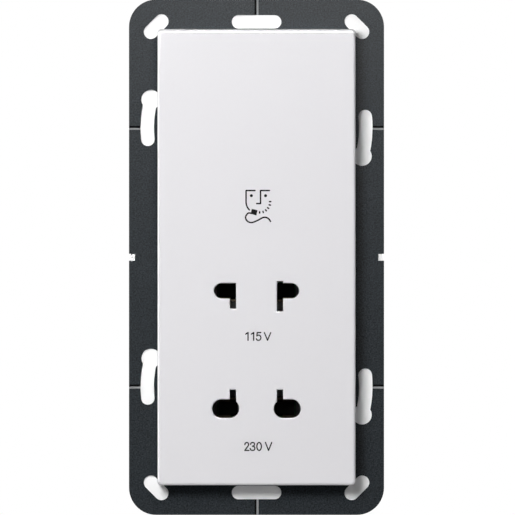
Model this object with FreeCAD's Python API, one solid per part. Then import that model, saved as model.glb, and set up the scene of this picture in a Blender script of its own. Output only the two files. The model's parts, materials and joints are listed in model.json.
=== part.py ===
import FreeCAD, Part
import math
import os
from FreeCAD import Vector

# Flush-mounted shaver socket for two gangs, in millimetres.
# The wall plane is Y = 0 and the room lies towards -Y. X runs to the right and Z runs up.
# The origin is the centre of the carrier frame in the wall plane.

# Carrier frame, a stamped steel sheet
GANG_PITCH = 71.0
FRAME_WIDTH = 70.0
FRAME_HEIGHT = 141.5
FRAME_THICKNESS = 1.2
FRAME_CORNER_RADIUS = 7.5
BOX_SCREW_PITCH = 60.0
KIDNEY_WIDTH = 3.7
KEYHOLE_DIAMETER = 5.3
KEYHOLE_ANGLE = 15.0
KIDNEY_TAIL_ANGLE = 6.0
EDGE_SLOT_LENGTH = 13.6
EDGE_SLOT_WIDTH = 3.7
EDGE_SLOT_INSET = 6.15
CORNER_SLOT_WIDTH = 3.9
CORNER_SLOT_INSET = 6.0
CORNER_SLOT_RUN = 2.9
NOTCH_DEPTH = 1.6
NOTCH_HEIGHT = 1.9
GROOVE_WIDTH = 1.1
GROOVE_DEPTH = 0.35
LUG_WIDTH = 8.0
LUG_LENGTH = 8.0
LUG_OFFSET = 14.0
LUG_BEND_RADIUS = 0.9
LUG_HOLE_WIDTH = 4.2
LUG_HOLE_START = 3.6
LUG_HOLE_LENGTH = 2.6

# Front cover
COVER_SIDE_OVERLAP = 3.75
COVER_END_OVERLAP = 7.0
COVER_PROJECTION = 9.5
COVER_WALL = 2.2
COVER_SKIRT = 1.6
COVER_CORNER_RADIUS = 1.05
COVER_EDGE_RADIUS = 0.85
COVER_FRAME_GAP = 0.3
COVER_RIB_WIDTH = 1.2
COVER_RIB_HEIGHT = 1.6
COVER_RIB_OFFSET = 13.0
COVER_RIB_START = 3.0
APERTURE_EDGE = 0.2

# Plug apertures, measured from the centre of the part
OUTLET_115_Z = -9.2
PIN_SLOT_115_HEIGHT = 4.2
PIN_SLOT_115_REACH = 11.65
BLADE_SHORT_HEIGHT = 6.95
BLADE_TALL_TOP = -6.55
BLADE_TALL_HEIGHT = 8.3
OUTLET_230_Z = -41.5
PIN_SLOT_230_HEIGHT = 5.1
PIN_SLOT_230_REACH = 12.15
BLADE_230_TOP = -36.3
BLADE_X = 6.45
BLADE_SLOT_WIDTH = 1.7
PIN_LENGTH = 19.0

# Socket base, the moulded contact carrier
FLANGE_THICKNESS = 2.0
FLANGE_SIDE_GAP = 0.5
FLANGE_CORNER_RADIUS = 1.5
COVER_BASE_GAP = 0.3
PLATEAU_EDGE = 0.1
SOCKET_WALL = 2.5
APERTURE_GROWTH = 0.15
CELL_INNER_X = 4.3
CELL_OUTER_X = 14.3
CELL_115_DROP = 0.7
CELL_230_RISE = 0.8
CELL_HALF_HEIGHT = 5.3
CELL_WALL = 1.8
CELL_DEPTH_BEHIND_PIN = 2.5
RIM_THICKNESS = 1.5
RIM_DEPTH = 4.2
RIM_GAP = 0.2
POST_RADIUS = 2.4
POST_SIDE_GAP = 1.3
POST_INSET = 3.6
BASE_RIB_HEIGHT = 3.0
BASE_RIB_THICKNESS = 1.2
BASE_RIB_COUNT = 4

# Snap hooks of the cover and their catches on the base
HOOK_Z = 35.0
HOOK_LENGTH = 8.0
HOOK_THICKNESS = 1.0
HOOK_NOSE = 0.8
HOOK_NOSE_DEPTH = 1.0
HOOK_GAP = 0.2
CATCH_LIP = 0.8
CATCH_DEPTH = 1.6

# Rear housing
HOUSING_WALL = 1.5
HOUSING_CORNER_RADIUS = 4.0
HOUSING_BACK_RADIUS = 1.2
WINDOW_GAP = 0.2
NUB_HEIGHT = 1.0
NUB_TIP_HEIGHT = 0.25
NUB_WIDTH = 3.6
NUB_LENGTH = 2.0
BOSS_RADIUS = 2.9
BOSS_SINK = 0.4
BOSS_LENGTH = 10.7
BOSS_FLOOR = 1.0
VENT_WIDTH = 1.8
VENT_LENGTH = 14.0
VENT_PITCH = 5.6
VENT_COUNT = 6
VENT_COLUMN_X = 10.0
SIDE_VENT_LENGTH = 18.0
PARTITION_THICKNESS = 1.6
PARTITION_DEPTH = 7.0

# Screws
SCREW_RADIUS = 1.4
SCREW_HEAD_RADIUS = 2.6
SCREW_HEAD_HEIGHT = 1.7
SCREW_FIT = 0.05
SCREW_CLEARANCE = 0.2
SCREW_TIP_ROOM = 1.0
SCREW_EDGE_SHARE = 0.4
SLOT_WIDTH = 0.8
SLOT_SHARE = 0.5
HOUSING_SCREW_LENGTH = 10.0
COUNTERBORE_DEPTH = 0.8

# Spring contacts, stamped sheet
CONTACT_SHEET = 0.5
CONTACT_SETBACK = 1.0
CONTACT_MOUTH = 3.3
CONTACT_PINCH = 1.8
CONTACT_REAR = 2.7
CONTACT_PINCH_DEPTH = 4.6
CONTACT_LEAF_LENGTH = 7.6
CONTACT_SLIT_WIDTH = 1.4
CONTACT_SLIT_LENGTH = 6.6
CONTACT_SPINE_HEIGHT = 7.4
CONTACT_TAIL_WIDTH = 2.0
CONTACT_TAIL_OUT = 0.5
CONTACT_SIDE_GAP = 0.6

# Contact retainer with the pivot ears, and the leaf spring that centres the rocker
RETAINER_THICKNESS = 1.6
RETAINER_SIDE = 1.0
RETAINER_EDGE = 1.0
EAR_THICKNESS = 2.0
EAR_HALF_WIDTH = 3.0
RETAINER_SCREW_OFFSET = 8.5
RETAINER_SCREW_LENGTH = 7.0
RETAINER_HEAD_HEIGHT = 1.2
SPRING_SHEET = 0.4
SPRING_WIDTH = 6.4
SPRING_FLAT = 12.0
SPRING_TIP = 16.6
SPRING_CURL = 1.0
SPRING_GAP = 0.05

# Interlock rocker on its axle
PIVOT_HEIGHT = 4.9
AXLE_RADIUS = 1.0
AXLE_GRIP = 0.01
AXLE_FIT = 0.05
HUB_RADIUS = 2.4
HUB_LENGTH = 14.0
ROCKER_THICKNESS = 2.4
ROCKER_TRAVEL = 2.5
ROCKER_END = 2.2
ROCKER_CROSSBAR = 6.5
ROCKER_SIDE_GAP = 0.4
FINGER_HEIGHT = 3.0
FINGER_INNER_X = 5.6
FINGER_OUTER_X = 10.4
FINGER_WINDOW_GAP = 0.5
PEG_REACH = 6.4
PEG_WIDTH = 3.2
PEG_THICKNESS = 2.0

# Changeover switch with a centre-off slider that the rocker's peg moves
FORK_DEPTH = 1.8
FORK_GAP = 0.25
FORK_ARM = 1.0
FORK_WIDTH = 4.4
FORK_WEB = 0.8
PEG_TIP_GAP = 0.3
SLIDER_NECK_WIDTH = 2.4
SLIDER_NECK_LENGTH = 3.0
SLIDER_BASE_WIDTH = 5.0
SLIDER_BASE_LENGTH = 8.0
SLIDER_BASE_THICKNESS = 1.2
SLIDER_GAP = 0.15
SLIDER_END_GAP = 0.3
SWITCH_LID = 0.8
SWITCH_WALL = 0.9
SWITCH_FLOOR = 0.7
SWITCH_ROUND = 0.5
SWITCH_PIN_WIDTH = 0.8
SWITCH_PIN_X = 2.5
SWITCH_PIN_PITCH = 4.0
SWITCH_PIN_OUT = 1.2
PIN_HOLE_GAP = 0.1

# Circuit board
BOARD_THICKNESS = 1.6
BOARD_EDGE = 0.6
BOARD_SIDE_GAP = 0.9
BOARD_RISE = 2.0
BOARD_END_GAP = 0.2
BOARD_CORNER_RADIUS = 2.2
BOARD_SCREW_LENGTH = 8.0
BOARD_SLOT_GAP = 0.3
SOLDER_SIDE_OUT = 0.6

# Transformer: laminated core, 6 limbs long by 5 wide, on a two-chamber bobbin
CORE_BOARD_GAP = 4.8
CORE_Y = 21.0
CORE_SIDE_GAP = 1.9
CORE_END_GAP = 2.0
CORE_LIMBS_WIDE = 5
CORE_LIMBS_LONG = 6
CORE_STACK = 16.8
BOBBIN_GAP = 0.2
BOBBIN_WALL = 0.8
BOBBIN_FLANGE = 0.9
BOBBIN_PARTITION = 1.2
BOBBIN_MARGIN = 0.3
WINDING_MARGIN = 0.3
WINDING_CORNER_RADIUS = 3.0
CORE_BOLT_RADIUS = 1.5
CORE_BOLT_HEAD_RADIUS = 2.7
CORE_BOLT_HEAD_HEIGHT = 2.0
CORE_BOLT_GRIP = 8.6
CORE_BOLT_CLEARANCE = 0.1
CORE_BOSS_RADIUS = 3.2

# Leads from the windings to the board
LEAD_RADIUS = 0.7
LEAD_BEND_RADIUS = 1.3
LEAD_SETBACK = 1.6
LEAD_DROP = 3.2
LEAD_PLACES = {
    "lead_primary_live": -9.0,
    "lead_primary_neutral": -5.0,
    "lead_secondary_common": 2.6,
    "lead_secondary_115": 6.0,
    "lead_secondary_230": 9.4,
}

# Overload protection on the rear of the board
CUTOUT_RADIUS = 6.0
CUTOUT_THICKNESS = 4.0
CUTOUT_X = -11.0
FUSE_RADIUS = 4.2
FUSE_HEIGHT = 7.6
FUSE_X = 10.5
PROTECTION_Z = -15.0
LEG_RADIUS = 0.4
LEG_PITCH = 5.0
LEG_STANDOFF = 0.8
EDGE_ROUND = 0.6

# Terminal block with three poles
POLE_PITCH = 5.4
TERMINAL_HEIGHT = 11.1
TERMINAL_DEPTH = 12.65
TERMINAL_SIDE_WALL = 0.8
TERMINAL_REAR_WALL = 2.0
TERMINAL_RECESS = 0.6
TERMINAL_CUT_GAP = 0.2
WIRE_HOLE_RADIUS = 1.5
WIRE_AXIS_HEIGHT = 7.1
CLAMP_WIDTH = 4.4
CLAMP_WALL = 0.6
CLAMP_FOOT = 1.6
CLAMP_OPENING = 3.6
CLAMP_LENGTH = 6.2
CLAMP_GAP = 0.1
CLAMP_PIN_RADIUS = 0.45
CLAMP_PIN_OUT = 0.8
CLAMP_PIN_GAP = 0.25
TERMINAL_SCREW_HEAD_RADIUS = 1.8
TERMINAL_SCREW_HEAD_HEIGHT = 1.5
TERMINAL_SCREW_SINK = 0.6
TERMINAL_SCREW_TIP_GAP = 0.2

# How far a cutting solid reaches past a face, and a joined solid into its neighbour
OVERCUT = 1.0
EMBED = 0.5

# Levels along Y, from the room to the back of the wall box
frame_front = -FRAME_THICKNESS
flange_front = frame_front - FLANGE_THICKNESS
cover_face = -COVER_PROJECTION
cover_inside = cover_face + COVER_WALL
cover_rear = frame_front - COVER_FRAME_GAP
plateau_front = cover_inside + COVER_BASE_GAP
cell_front = plateau_front + SOCKET_WALL
pin_tip = cover_face + PIN_LENGTH
block_rear = pin_tip + CELL_DEPTH_BEHIND_PIN
retainer_rear = block_rear + RETAINER_THICKNESS
pivot_y = retainer_rear + PIVOT_HEIGHT
rocker_front = pivot_y - ROCKER_THICKNESS / 2
rocker_rear = pivot_y + ROCKER_THICKNESS / 2
finger_tip = pin_tip - ROCKER_TRAVEL
peg_tip = pivot_y + PEG_REACH
fork_front = peg_tip - FORK_DEPTH
fork_floor = peg_tip + PEG_TIP_GAP
slider_head_rear = fork_floor + FORK_WEB
switch_front = slider_head_rear + SLIDER_GAP
switch_inner_front = switch_front + SWITCH_LID
switch_inner_rear = switch_inner_front + SLIDER_BASE_THICKNESS + 2 * SLIDER_GAP
board_front = switch_inner_rear + SWITCH_FLOOR
board_rear = board_front + BOARD_THICKNESS
terminal_rear = board_rear + TERMINAL_DEPTH
housing_rear = terminal_rear + TERMINAL_RECESS
housing_inner_rear = housing_rear - HOUSING_WALL
boss_rear = frame_front + BOSS_LENGTH

# Half sizes, centres and places that several pieces share
frame_half_x = FRAME_WIDTH / 2
frame_half_z = FRAME_HEIGHT / 2
post_x = CELL_OUTER_X + POST_SIDE_GAP + POST_RADIUS
plateau_half_x = post_x + POST_RADIUS + PLATEAU_EDGE
board_half_x = post_x + POST_RADIUS + BOARD_EDGE
inner_half_x = board_half_x + BOARD_SIDE_GAP
housing_half_x = inner_half_x + HOUSING_WALL
cell_115_z = OUTLET_115_Z - CELL_115_DROP
cell_230_z = OUTLET_230_Z + CELL_230_RISE
block_top = cell_115_z + CELL_HALF_HEIGHT + CELL_WALL
block_bottom = cell_230_z - CELL_HALF_HEIGHT - CELL_WALL
board_top_z = block_top + BOARD_RISE
core_span = 2 * (inner_half_x - CORE_SIDE_GAP)
core_limb = core_span / CORE_LIMBS_WIDE
core_length = core_limb * CORE_LIMBS_LONG
core_z = board_top_z + CORE_BOARD_GAP + core_length / 2
inner_half_z = core_z + core_length / 2 + CORE_END_GAP
housing_half_z = inner_half_z + HOUSING_WALL
inner_corner_radius = HOUSING_CORNER_RADIUS - HOUSING_WALL
window_half_x = housing_half_x + WINDOW_GAP
window_half_z = housing_half_z + WINDOW_GAP
cover_half_x = housing_half_x + COVER_SIDE_OVERLAP
cover_half_z = housing_half_z + COVER_END_OVERLAP
flange_half_x = cover_half_x - COVER_SKIRT - FLANGE_SIDE_GAP
flange_half_z = cover_half_z - COVER_SKIRT - FLANGE_SIDE_GAP
boss_x = inner_half_x - BOSS_RADIUS + BOSS_SINK
boss_z = inner_half_z - BOSS_RADIUS + BOSS_SINK
boss_places = [(x, z) for x in (-boss_x, boss_x) for z in (-boss_z, boss_z)]
pivot_z = (OUTLET_115_Z + OUTLET_230_Z) / 2
finger_arm = (OUTLET_115_Z - OUTLET_230_Z) / 2
rocker_tilt = math.asin(ROCKER_TRAVEL / finger_arm)
slider_arm = PEG_REACH - FORK_DEPTH / 2
slider_travel = slider_arm * rocker_tilt
hub_gap_x = HUB_LENGTH / 2 + ROCKER_SIDE_GAP
post_rows = (block_top - POST_INSET, block_bottom + POST_INSET)
post_places = [(x, z) for x in (-post_x, post_x) for z in post_rows]
retainer_screw_places = [(0, pivot_z - RETAINER_SCREW_OFFSET), (0, pivot_z + RETAINER_SCREW_OFFSET)]
switch_pin_rows = [pivot_z + i * SWITCH_PIN_PITCH for i in (-1, 0, 1)]
switch_pin_places = [(x, z) for x in (-SWITCH_PIN_X, SWITCH_PIN_X) for z in switch_pin_rows]
contact_outer = CELL_OUTER_X - CONTACT_SIDE_GAP
core_rear = CORE_Y + CORE_STACK / 2
core_front = CORE_Y - CORE_STACK / 2
core_window_half = core_span / 2 - core_limb
core_hole_x = core_span / 2 - core_limb / 2
core_hole_z = core_length / 2 - core_limb / 2
core_hole_places = [(x, core_z + z) for x in (-core_hole_x, core_hole_x) for z in (-core_hole_z, core_hole_z)]
tube_half_z = core_limb + BOBBIN_GAP + BOBBIN_WALL
tube_half_y = CORE_STACK / 2 + BOBBIN_GAP + BOBBIN_WALL
coil_half_z = 2 * core_limb - BOBBIN_MARGIN
coil_half_y = CORE_STACK / 2 + core_limb - BOBBIN_MARGIN
lead_y = board_rear + LEAD_SETBACK
lead_start_z = core_z - coil_half_z + WINDING_MARGIN
lead_end_z = board_top_z - LEAD_DROP
pole_places = [-POLE_PITCH, 0, POLE_PITCH]
terminal_half_x = POLE_PITCH + CLAMP_WIDTH / 2 + CLAMP_GAP + TERMINAL_SIDE_WALL
terminal_bottom = -housing_half_z + TERMINAL_RECESS
terminal_top = terminal_bottom + TERMINAL_HEIGHT
wire_z = terminal_bottom + WIRE_AXIS_HEIGHT
clamp_rear = terminal_rear - TERMINAL_REAR_WALL - CLAMP_GAP
clamp_front = clamp_rear - CLAMP_LENGTH
clamp_middle = (clamp_front + clamp_rear) / 2
clamp_bottom = wire_z - CLAMP_OPENING / 2 - CLAMP_FOOT
clamp_top = wire_z + CLAMP_OPENING / 2 + CLAMP_WALL


# Basic solids, each from pairs of a low and a high value

def sym(half):
    return (-half, half)


def about(centre, half):
    return (centre - half, centre + half)


def on_side(side, inner, outer):
    """The pair from inner to outer on the positive or negative side."""
    return tuple(sorted((side * inner, side * outer)))


def block(x, y, z):
    return Part.makeBox(x[1] - x[0], y[1] - y[0], z[1] - z[0], Vector(x[0], y[0], z[0]))


def rod_x(y, z, x, radius):
    return Part.makeCylinder(radius, x[1] - x[0], Vector(x[0], y, z), Vector(1, 0, 0))


def rod_y(place, y, radius):
    """A round rod along Y at an (x, z) place."""
    return Part.makeCylinder(radius, y[1] - y[0], Vector(place[0], y[0], place[1]), Vector(0, 1, 0))


def rod_z(x, y, z, radius):
    return Part.makeCylinder(radius, z[1] - z[0], Vector(x, y, z[0]), Vector(0, 0, 1))


def rounded_prism(half_x, half_z, radius, y, centre=(0, 0)):
    """A prism along Y whose section is a rectangle with round corners."""
    solid = block(about(centre[0], half_x), y, about(centre[1], half_z))
    corners = [e for e in solid.Edges if e.BoundBox.YLength > e.BoundBox.XLength + e.BoundBox.ZLength]
    return solid.makeFillet(radius, corners)


def stadium(start, end, radius, y):
    """A prism along Y whose section is a slot between two (x, z) centres."""
    a = Vector(start[0], y[0], start[1])
    b = Vector(end[0], y[0], end[1])
    along = (b - a).normalize()
    side = Vector(-along.z, 0, along.x) * radius
    edges = [
        Part.makeLine(a + side, b + side),
        Part.Arc(b + side, b + along * radius, b - side).toShape(),
        Part.makeLine(b - side, a - side),
        Part.Arc(a - side, a - along * radius, a + side).toShape(),
    ]
    return Part.Face(Part.Wire(edges)).extrude(Vector(0, y[1] - y[0], 0))


def polygon_prism(points, reach):
    """A flat outline of points, extruded by a vector."""
    return Part.Face(Part.makePolygon(points + points[:1])).extrude(reach)


def join(shapes):
    """Fuses touching solids and merges their shared faces."""
    return shapes[0].multiFuse(shapes[1:]).removeSplitter()


def mirrored(shape):
    return shape.mirror(Vector(0, 0, 0), Vector(1, 0, 0))


def edges_at(shape, level):
    """The edges that lie flat at one level along Y."""
    boxes = [(e, e.BoundBox) for e in shape.Edges]
    return [e for e, b in boxes if abs(b.YMin - level) < 1e-6 and abs(b.YMax - level) < 1e-6]


def moved(shape, x, y, z, flip=False):
    """A copy moved to a place, turned to face the other way along Y if asked."""
    copy = shape.copy()
    if flip:
        copy.rotate(Vector(0, 0, 0), Vector(0, 0, 1), 180)
    copy.translate(Vector(x, y, z))
    return copy


# Carrier frame and the places of its bent lugs

lug_places = [(side, z) for side in ("+x", "-x") for z in (LUG_OFFSET, -LUG_OFFSET)] + [("+z", 0), ("-z", 0)]
lug_turns = {"+x": 0, "+z": -90, "-x": 180, "-z": 90}


def on_edge(shape, side, place):
    """Turns a shape made on the +X side to one side of the window, and slides it along that side."""
    shape.rotate(Vector(0, 0, 0), Vector(0, 1, 0), lug_turns[side])
    shape.translate(Vector(place, 0, 0) if side[1] == "z" else Vector(0, 0, place))
    return shape


def ring_point(radius, degrees, gang_z, y):
    """A point on a gang's screw circle, counted from +X towards +Z."""
    angle = math.radians(degrees)
    return Vector(radius * math.cos(angle), y, gang_z + radius * math.sin(angle))


def kidney_slot(gang_z, facing, y):
    """A screw slot with a keyhole, curved along the gang's screw circle; facing is 0 or 180 degrees."""
    middle = BOX_SCREW_PITCH / 2
    half = KIDNEY_WIDTH / 2
    cap = math.degrees(half / middle)
    first = facing - KEYHOLE_ANGLE
    last = facing + KIDNEY_TAIL_ANGLE
    centre = (first + last) / 2
    outer = middle + half
    inner = middle - half
    arcs = [
        ((outer, first), (outer, centre), (outer, last)),
        ((outer, last), (middle, last + cap), (inner, last)),
        ((inner, last), (inner, centre), (inner, first)),
        ((inner, first), (middle, first - cap), (outer, first)),
    ]
    edges = [Part.Arc(*[ring_point(r, a, gang_z, y[0]) for r, a in arc]).toShape() for arc in arcs]
    slot = Part.Face(Part.Wire(edges)).extrude(Vector(0, y[1] - y[0], 0))
    head = ring_point(middle, first, gang_z, 0)
    return slot.fuse(rod_y((head.x, head.z), y, KEYHOLE_DIAMETER / 2))


def groove(start, end):
    """A V-shaped alignment line in the front of the frame, between two (x, z) points."""
    origin = Vector(start[0], frame_front, start[1])
    along = Vector(end[0], frame_front, end[1]) - origin
    side = Vector(-along.z, 0, along.x).normalize() * (GROOVE_WIDTH / 2)
    return polygon_prism([origin - side, origin + Vector(0, GROOVE_DEPTH, 0), origin + side], along)


def bent_lug(side, place):
    """A lug bent back from the window's edge, with its snap hole."""
    outer = window_half_x if side[1] == "x" else window_half_z
    x = (outer, outer + FRAME_THICKNESS)
    lug = block(x, (frame_front, LUG_LENGTH), sym(LUG_WIDTH / 2))
    bend = [e for e in edges_at(lug, frame_front) if e.BoundBox.XMax < (x[0] + x[1]) / 2]
    lug = lug.makeFillet(LUG_BEND_RADIUS, bend)
    hole_y = (LUG_HOLE_START, LUG_HOLE_START + LUG_HOLE_LENGTH)
    lug = lug.cut(block((x[0] - OVERCUT, x[1] + OVERCUT), hole_y, sym(LUG_HOLE_WIDTH / 2)))
    return on_edge(lug, side, place)


def lug_relief(side, place):
    """The patch of the sheet that a lug takes up."""
    outer = window_half_x if side[1] == "x" else window_half_z
    x = (outer - OVERCUT, outer + FRAME_THICKNESS)
    return on_edge(block(x, (frame_front - OVERCUT, OVERCUT), sym(LUG_WIDTH / 2)), side, place)


def carrier_frame():
    through = (frame_front - OVERCUT, OVERCUT)
    plate = rounded_prism(frame_half_x, frame_half_z, FRAME_CORNER_RADIUS, (frame_front, 0))
    cuts = [rounded_prism(window_half_x, window_half_z, HOUSING_CORNER_RADIUS + WINDOW_GAP, through)]
    slot_half = (EDGE_SLOT_LENGTH - EDGE_SLOT_WIDTH) / 2
    screw_x = BOX_SCREW_PITCH / 2
    for up in (-1, 1):
        gang_z = up * GANG_PITCH / 2
        cuts += [kidney_slot(gang_z, 0, through), kidney_slot(gang_z, 180, through)]
        slot_z = up * (frame_half_z - EDGE_SLOT_INSET)
        cuts.append(stadium((-slot_half, slot_z), (slot_half, slot_z), EDGE_SLOT_WIDTH / 2, through))
        cuts.append(groove((0, up * (frame_half_z + OVERCUT)), (0, slot_z)))
        for side in (-1, 1):
            cuts.append(groove((side * (frame_half_x + OVERCUT), gang_z), (side * screw_x, gang_z)))
            far_in = CORNER_SLOT_INSET + CORNER_SLOT_RUN
            low = (side * (frame_half_x - CORNER_SLOT_INSET), up * (frame_half_z - far_in))
            high = (side * (frame_half_x - far_in), up * (frame_half_z - CORNER_SLOT_INSET))
            cuts.append(stadium(low, high, CORNER_SLOT_WIDTH / 2, through))
    for side in (-1, 1):
        notch_x = on_side(side, frame_half_x - NOTCH_DEPTH, frame_half_x + OVERCUT)
        cuts.append(block(notch_x, through, sym(NOTCH_HEIGHT / 2)))
    cuts += [lug_relief(side, place) for side, place in lug_places]
    return join([plate.cut(cuts)] + [bent_lug(side, place) for side, place in lug_places])


# Plug apertures, which run through the cover and on through the base

def aperture(inner, reach, height, z, blade, y, grow, square_end):
    """A round-pin slot with a blade slot across it, on the +X side; blade is its (low, high) z."""
    radius = height / 2 + grow
    start = inner if square_end else inner + height / 2
    slot = stadium((start, z), (reach - height / 2, z), radius, y)
    if square_end:
        slot = slot.cut(block((inner - radius - OVERCUT, inner - grow), y, about(z, radius + OVERCUT)))
    blade_z = (blade[0] - grow, blade[1] + grow)
    return slot.fuse(block(about(BLADE_X, BLADE_SLOT_WIDTH / 2 + grow), y, blade_z)).removeSplitter()


def aperture_cuts(y, grow=0.0):
    """The four plug apertures as cutting solids."""
    slot_top = OUTLET_115_Z + PIN_SLOT_115_HEIGHT / 2
    short = (slot_top - BLADE_SHORT_HEIGHT, slot_top)
    tall = (BLADE_TALL_TOP - BLADE_TALL_HEIGHT, BLADE_TALL_TOP)
    inner_115 = BLADE_X - BLADE_SLOT_WIDTH / 2
    cuts = []
    for blade in (short, tall):
        cut = aperture(inner_115, PIN_SLOT_115_REACH, PIN_SLOT_115_HEIGHT, OUTLET_115_Z, blade, y, grow, True)
        cuts.append(mirrored(cut) if blade is short else cut)
    blade_230 = (OUTLET_230_Z, BLADE_230_TOP)
    inner_230 = BLADE_X + BLADE_SLOT_WIDTH / 2 - PIN_SLOT_230_HEIGHT / 2
    pin_230 = (inner_230, PIN_SLOT_230_REACH, PIN_SLOT_230_HEIGHT, OUTLET_230_Z)
    cut = aperture(*pin_230, blade_230, y, grow, False)
    return cuts + [cut, mirrored(cut)]


# Front cover

hook_outer = flange_half_x - HOOK_GAP
hook_inner = hook_outer - HOOK_THICKNESS
nose_rear = flange_front - HOOK_GAP
nose_front = nose_rear - HOOK_NOSE_DEPTH
hook_places = (-HOOK_Z, HOOK_Z)


def cover_hook(z):
    """A snap hook on the +X side, with a nose that points inwards."""
    span = about(z, HOOK_LENGTH / 2)
    arm = block((hook_inner, hook_outer), (cover_inside - EMBED, nose_rear), span)
    nose = block((hook_inner - HOOK_NOSE, hook_outer), (nose_front, nose_rear), span)
    return arm.fuse(nose)


def aperture_rims(shell):
    """The edges of the plug apertures in the cover's face."""
    boxes = [(e, e.BoundBox) for e in edges_at(shell, cover_face)]
    return [e for e, b in boxes if max(abs(b.XMin), abs(b.XMax)) < CELL_OUTER_X]


def cover_plate():
    shell = rounded_prism(cover_half_x, cover_half_z, COVER_CORNER_RADIUS, (cover_face, cover_rear))
    shell = shell.makeFillet(COVER_EDGE_RADIUS, edges_at(shell, cover_face))
    inside_x = cover_half_x - COVER_SKIRT
    inside_z = cover_half_z - COVER_SKIRT
    shell = shell.cut(block(sym(inside_x), (cover_inside, cover_rear + OVERCUT), sym(inside_z)))
    shell = shell.cut(aperture_cuts((cover_face - OVERCUT, cover_inside + OVERCUT)))
    shell = shell.makeChamfer(APERTURE_EDGE, aperture_rims(shell))
    pieces = [shell]
    rib_y = (cover_inside - EMBED, cover_inside + COVER_RIB_HEIGHT)
    rib_z = (block_top + COVER_RIB_START, inside_z + EMBED)
    for x in (-COVER_RIB_OFFSET, COVER_RIB_OFFSET):
        pieces.append(block(about(x, COVER_RIB_WIDTH / 2), rib_y, rib_z))
    hooks = [cover_hook(z) for z in hook_places]
    return join(pieces + hooks + [mirrored(hook) for hook in hooks])


# Socket base

def catch(z):
    """A catch on the +X side of the flange, whose lip holds a hook's nose."""
    span = about(z, HOOK_LENGTH / 2)
    lip_rear = nose_front - HOOK_GAP
    post_outer = hook_inner - HOOK_NOSE - HOOK_GAP
    post = block((post_outer - CATCH_DEPTH, post_outer), (lip_rear, flange_front + EMBED), span)
    lip = block((post_outer - CATCH_DEPTH, hook_inner - HOOK_GAP), (lip_rear - CATCH_LIP, lip_rear), span)
    return post.fuse(lip)


def locating_rim():
    """The rim behind the flange that fits inside the housing, open where the screw bosses stand."""
    y = (frame_front - EMBED, frame_front + RIM_DEPTH)
    half_x = inner_half_x - RIM_GAP
    half_z = inner_half_z - RIM_GAP
    rim = rounded_prism(half_x, half_z, inner_corner_radius, y)
    cuts = [block(sym(half_x - RIM_THICKNESS), y, sym(half_z - RIM_THICKNESS))]
    cuts += [rod_y(place, (frame_front, y[1]), BOSS_RADIUS + RIM_GAP) for place in boss_places]
    return rim.cut(cuts)


def base_ribs():
    """Stiffening ribs behind the plain upper part of the flange."""
    x = sym(inner_half_x - RIM_GAP - EMBED)
    y = (frame_front - EMBED, frame_front + BASE_RIB_HEIGHT)
    top = inner_half_z - RIM_GAP - RIM_THICKNESS
    step = (top - block_top) / (BASE_RIB_COUNT + 1)
    levels = [block_top + step * (i + 1) for i in range(BASE_RIB_COUNT)]
    return [block(x, y, about(z, BASE_RIB_THICKNESS / 2)) for z in levels]


def base_cuts():
    """Apertures, contact cells, the middle recess and the screw holes of the base."""
    cuts = aperture_cuts((plateau_front - OVERCUT, cell_front + OVERCUT), APERTURE_GROWTH)
    recess_z = (cell_230_z + CELL_HALF_HEIGHT + CELL_WALL, cell_115_z - CELL_HALF_HEIGHT - CELL_WALL)
    for side in (-1, 1):
        x = on_side(side, CELL_INNER_X, CELL_OUTER_X)
        for z in (about(cell_115_z, CELL_HALF_HEIGHT), about(cell_230_z, CELL_HALF_HEIGHT), recess_z):
            cuts.append(block(x, (cell_front, block_rear + OVERCUT), z))
    pilot = SCREW_RADIUS + SCREW_FIT
    y = (retainer_rear + SPRING_SHEET - RETAINER_SCREW_LENGTH - SCREW_TIP_ROOM, block_rear + OVERCUT)
    cuts += [rod_y(place, y, pilot) for place in retainer_screw_places]
    y = (board_rear - BOARD_SCREW_LENGTH - SCREW_TIP_ROOM, board_front + OVERCUT)
    cuts += [rod_y(place, y, pilot) for place in post_places]
    for place in boss_places:
        hole_y = (flange_front - OVERCUT, frame_front + OVERCUT)
        cuts.append(rod_y(place, hole_y, SCREW_RADIUS + SCREW_CLEARANCE))
        seat_y = (flange_front - OVERCUT, flange_front + COUNTERBORE_DEPTH)
        cuts.append(rod_y(place, seat_y, SCREW_HEAD_RADIUS + SCREW_CLEARANCE))
    return cuts


def socket_base():
    flange = rounded_prism(flange_half_x, flange_half_z, FLANGE_CORNER_RADIUS, (flange_front, frame_front))
    body = block(sym(plateau_half_x), (plateau_front, block_rear), (block_bottom, block_top))
    posts = [rod_y(place, (block_rear - EMBED, board_front), POST_RADIUS) for place in post_places]
    catches = [catch(z) for z in hook_places]
    pieces = [flange, body, locating_rim()] + base_ribs() + posts + catches + [mirrored(c) for c in catches]
    return join(pieces).cut(base_cuts())


# Rear housing

def nub(side, place):
    """A wedge that snaps into a lug's hole."""
    face = housing_half_x if side[1] == "x" else housing_half_z
    start = LUG_HOLE_START + (LUG_HOLE_LENGTH - NUB_LENGTH) / 2
    points = [
        Vector(face - EMBED, start, -NUB_WIDTH / 2),
        Vector(face + NUB_HEIGHT, start, -NUB_WIDTH / 2),
        Vector(face + NUB_TIP_HEIGHT, start + NUB_LENGTH, -NUB_WIDTH / 2),
        Vector(face - EMBED, start + NUB_LENGTH, -NUB_WIDTH / 2),
    ]
    return on_edge(polygon_prism(points, Vector(0, 0, NUB_WIDTH)), side, place)


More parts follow.
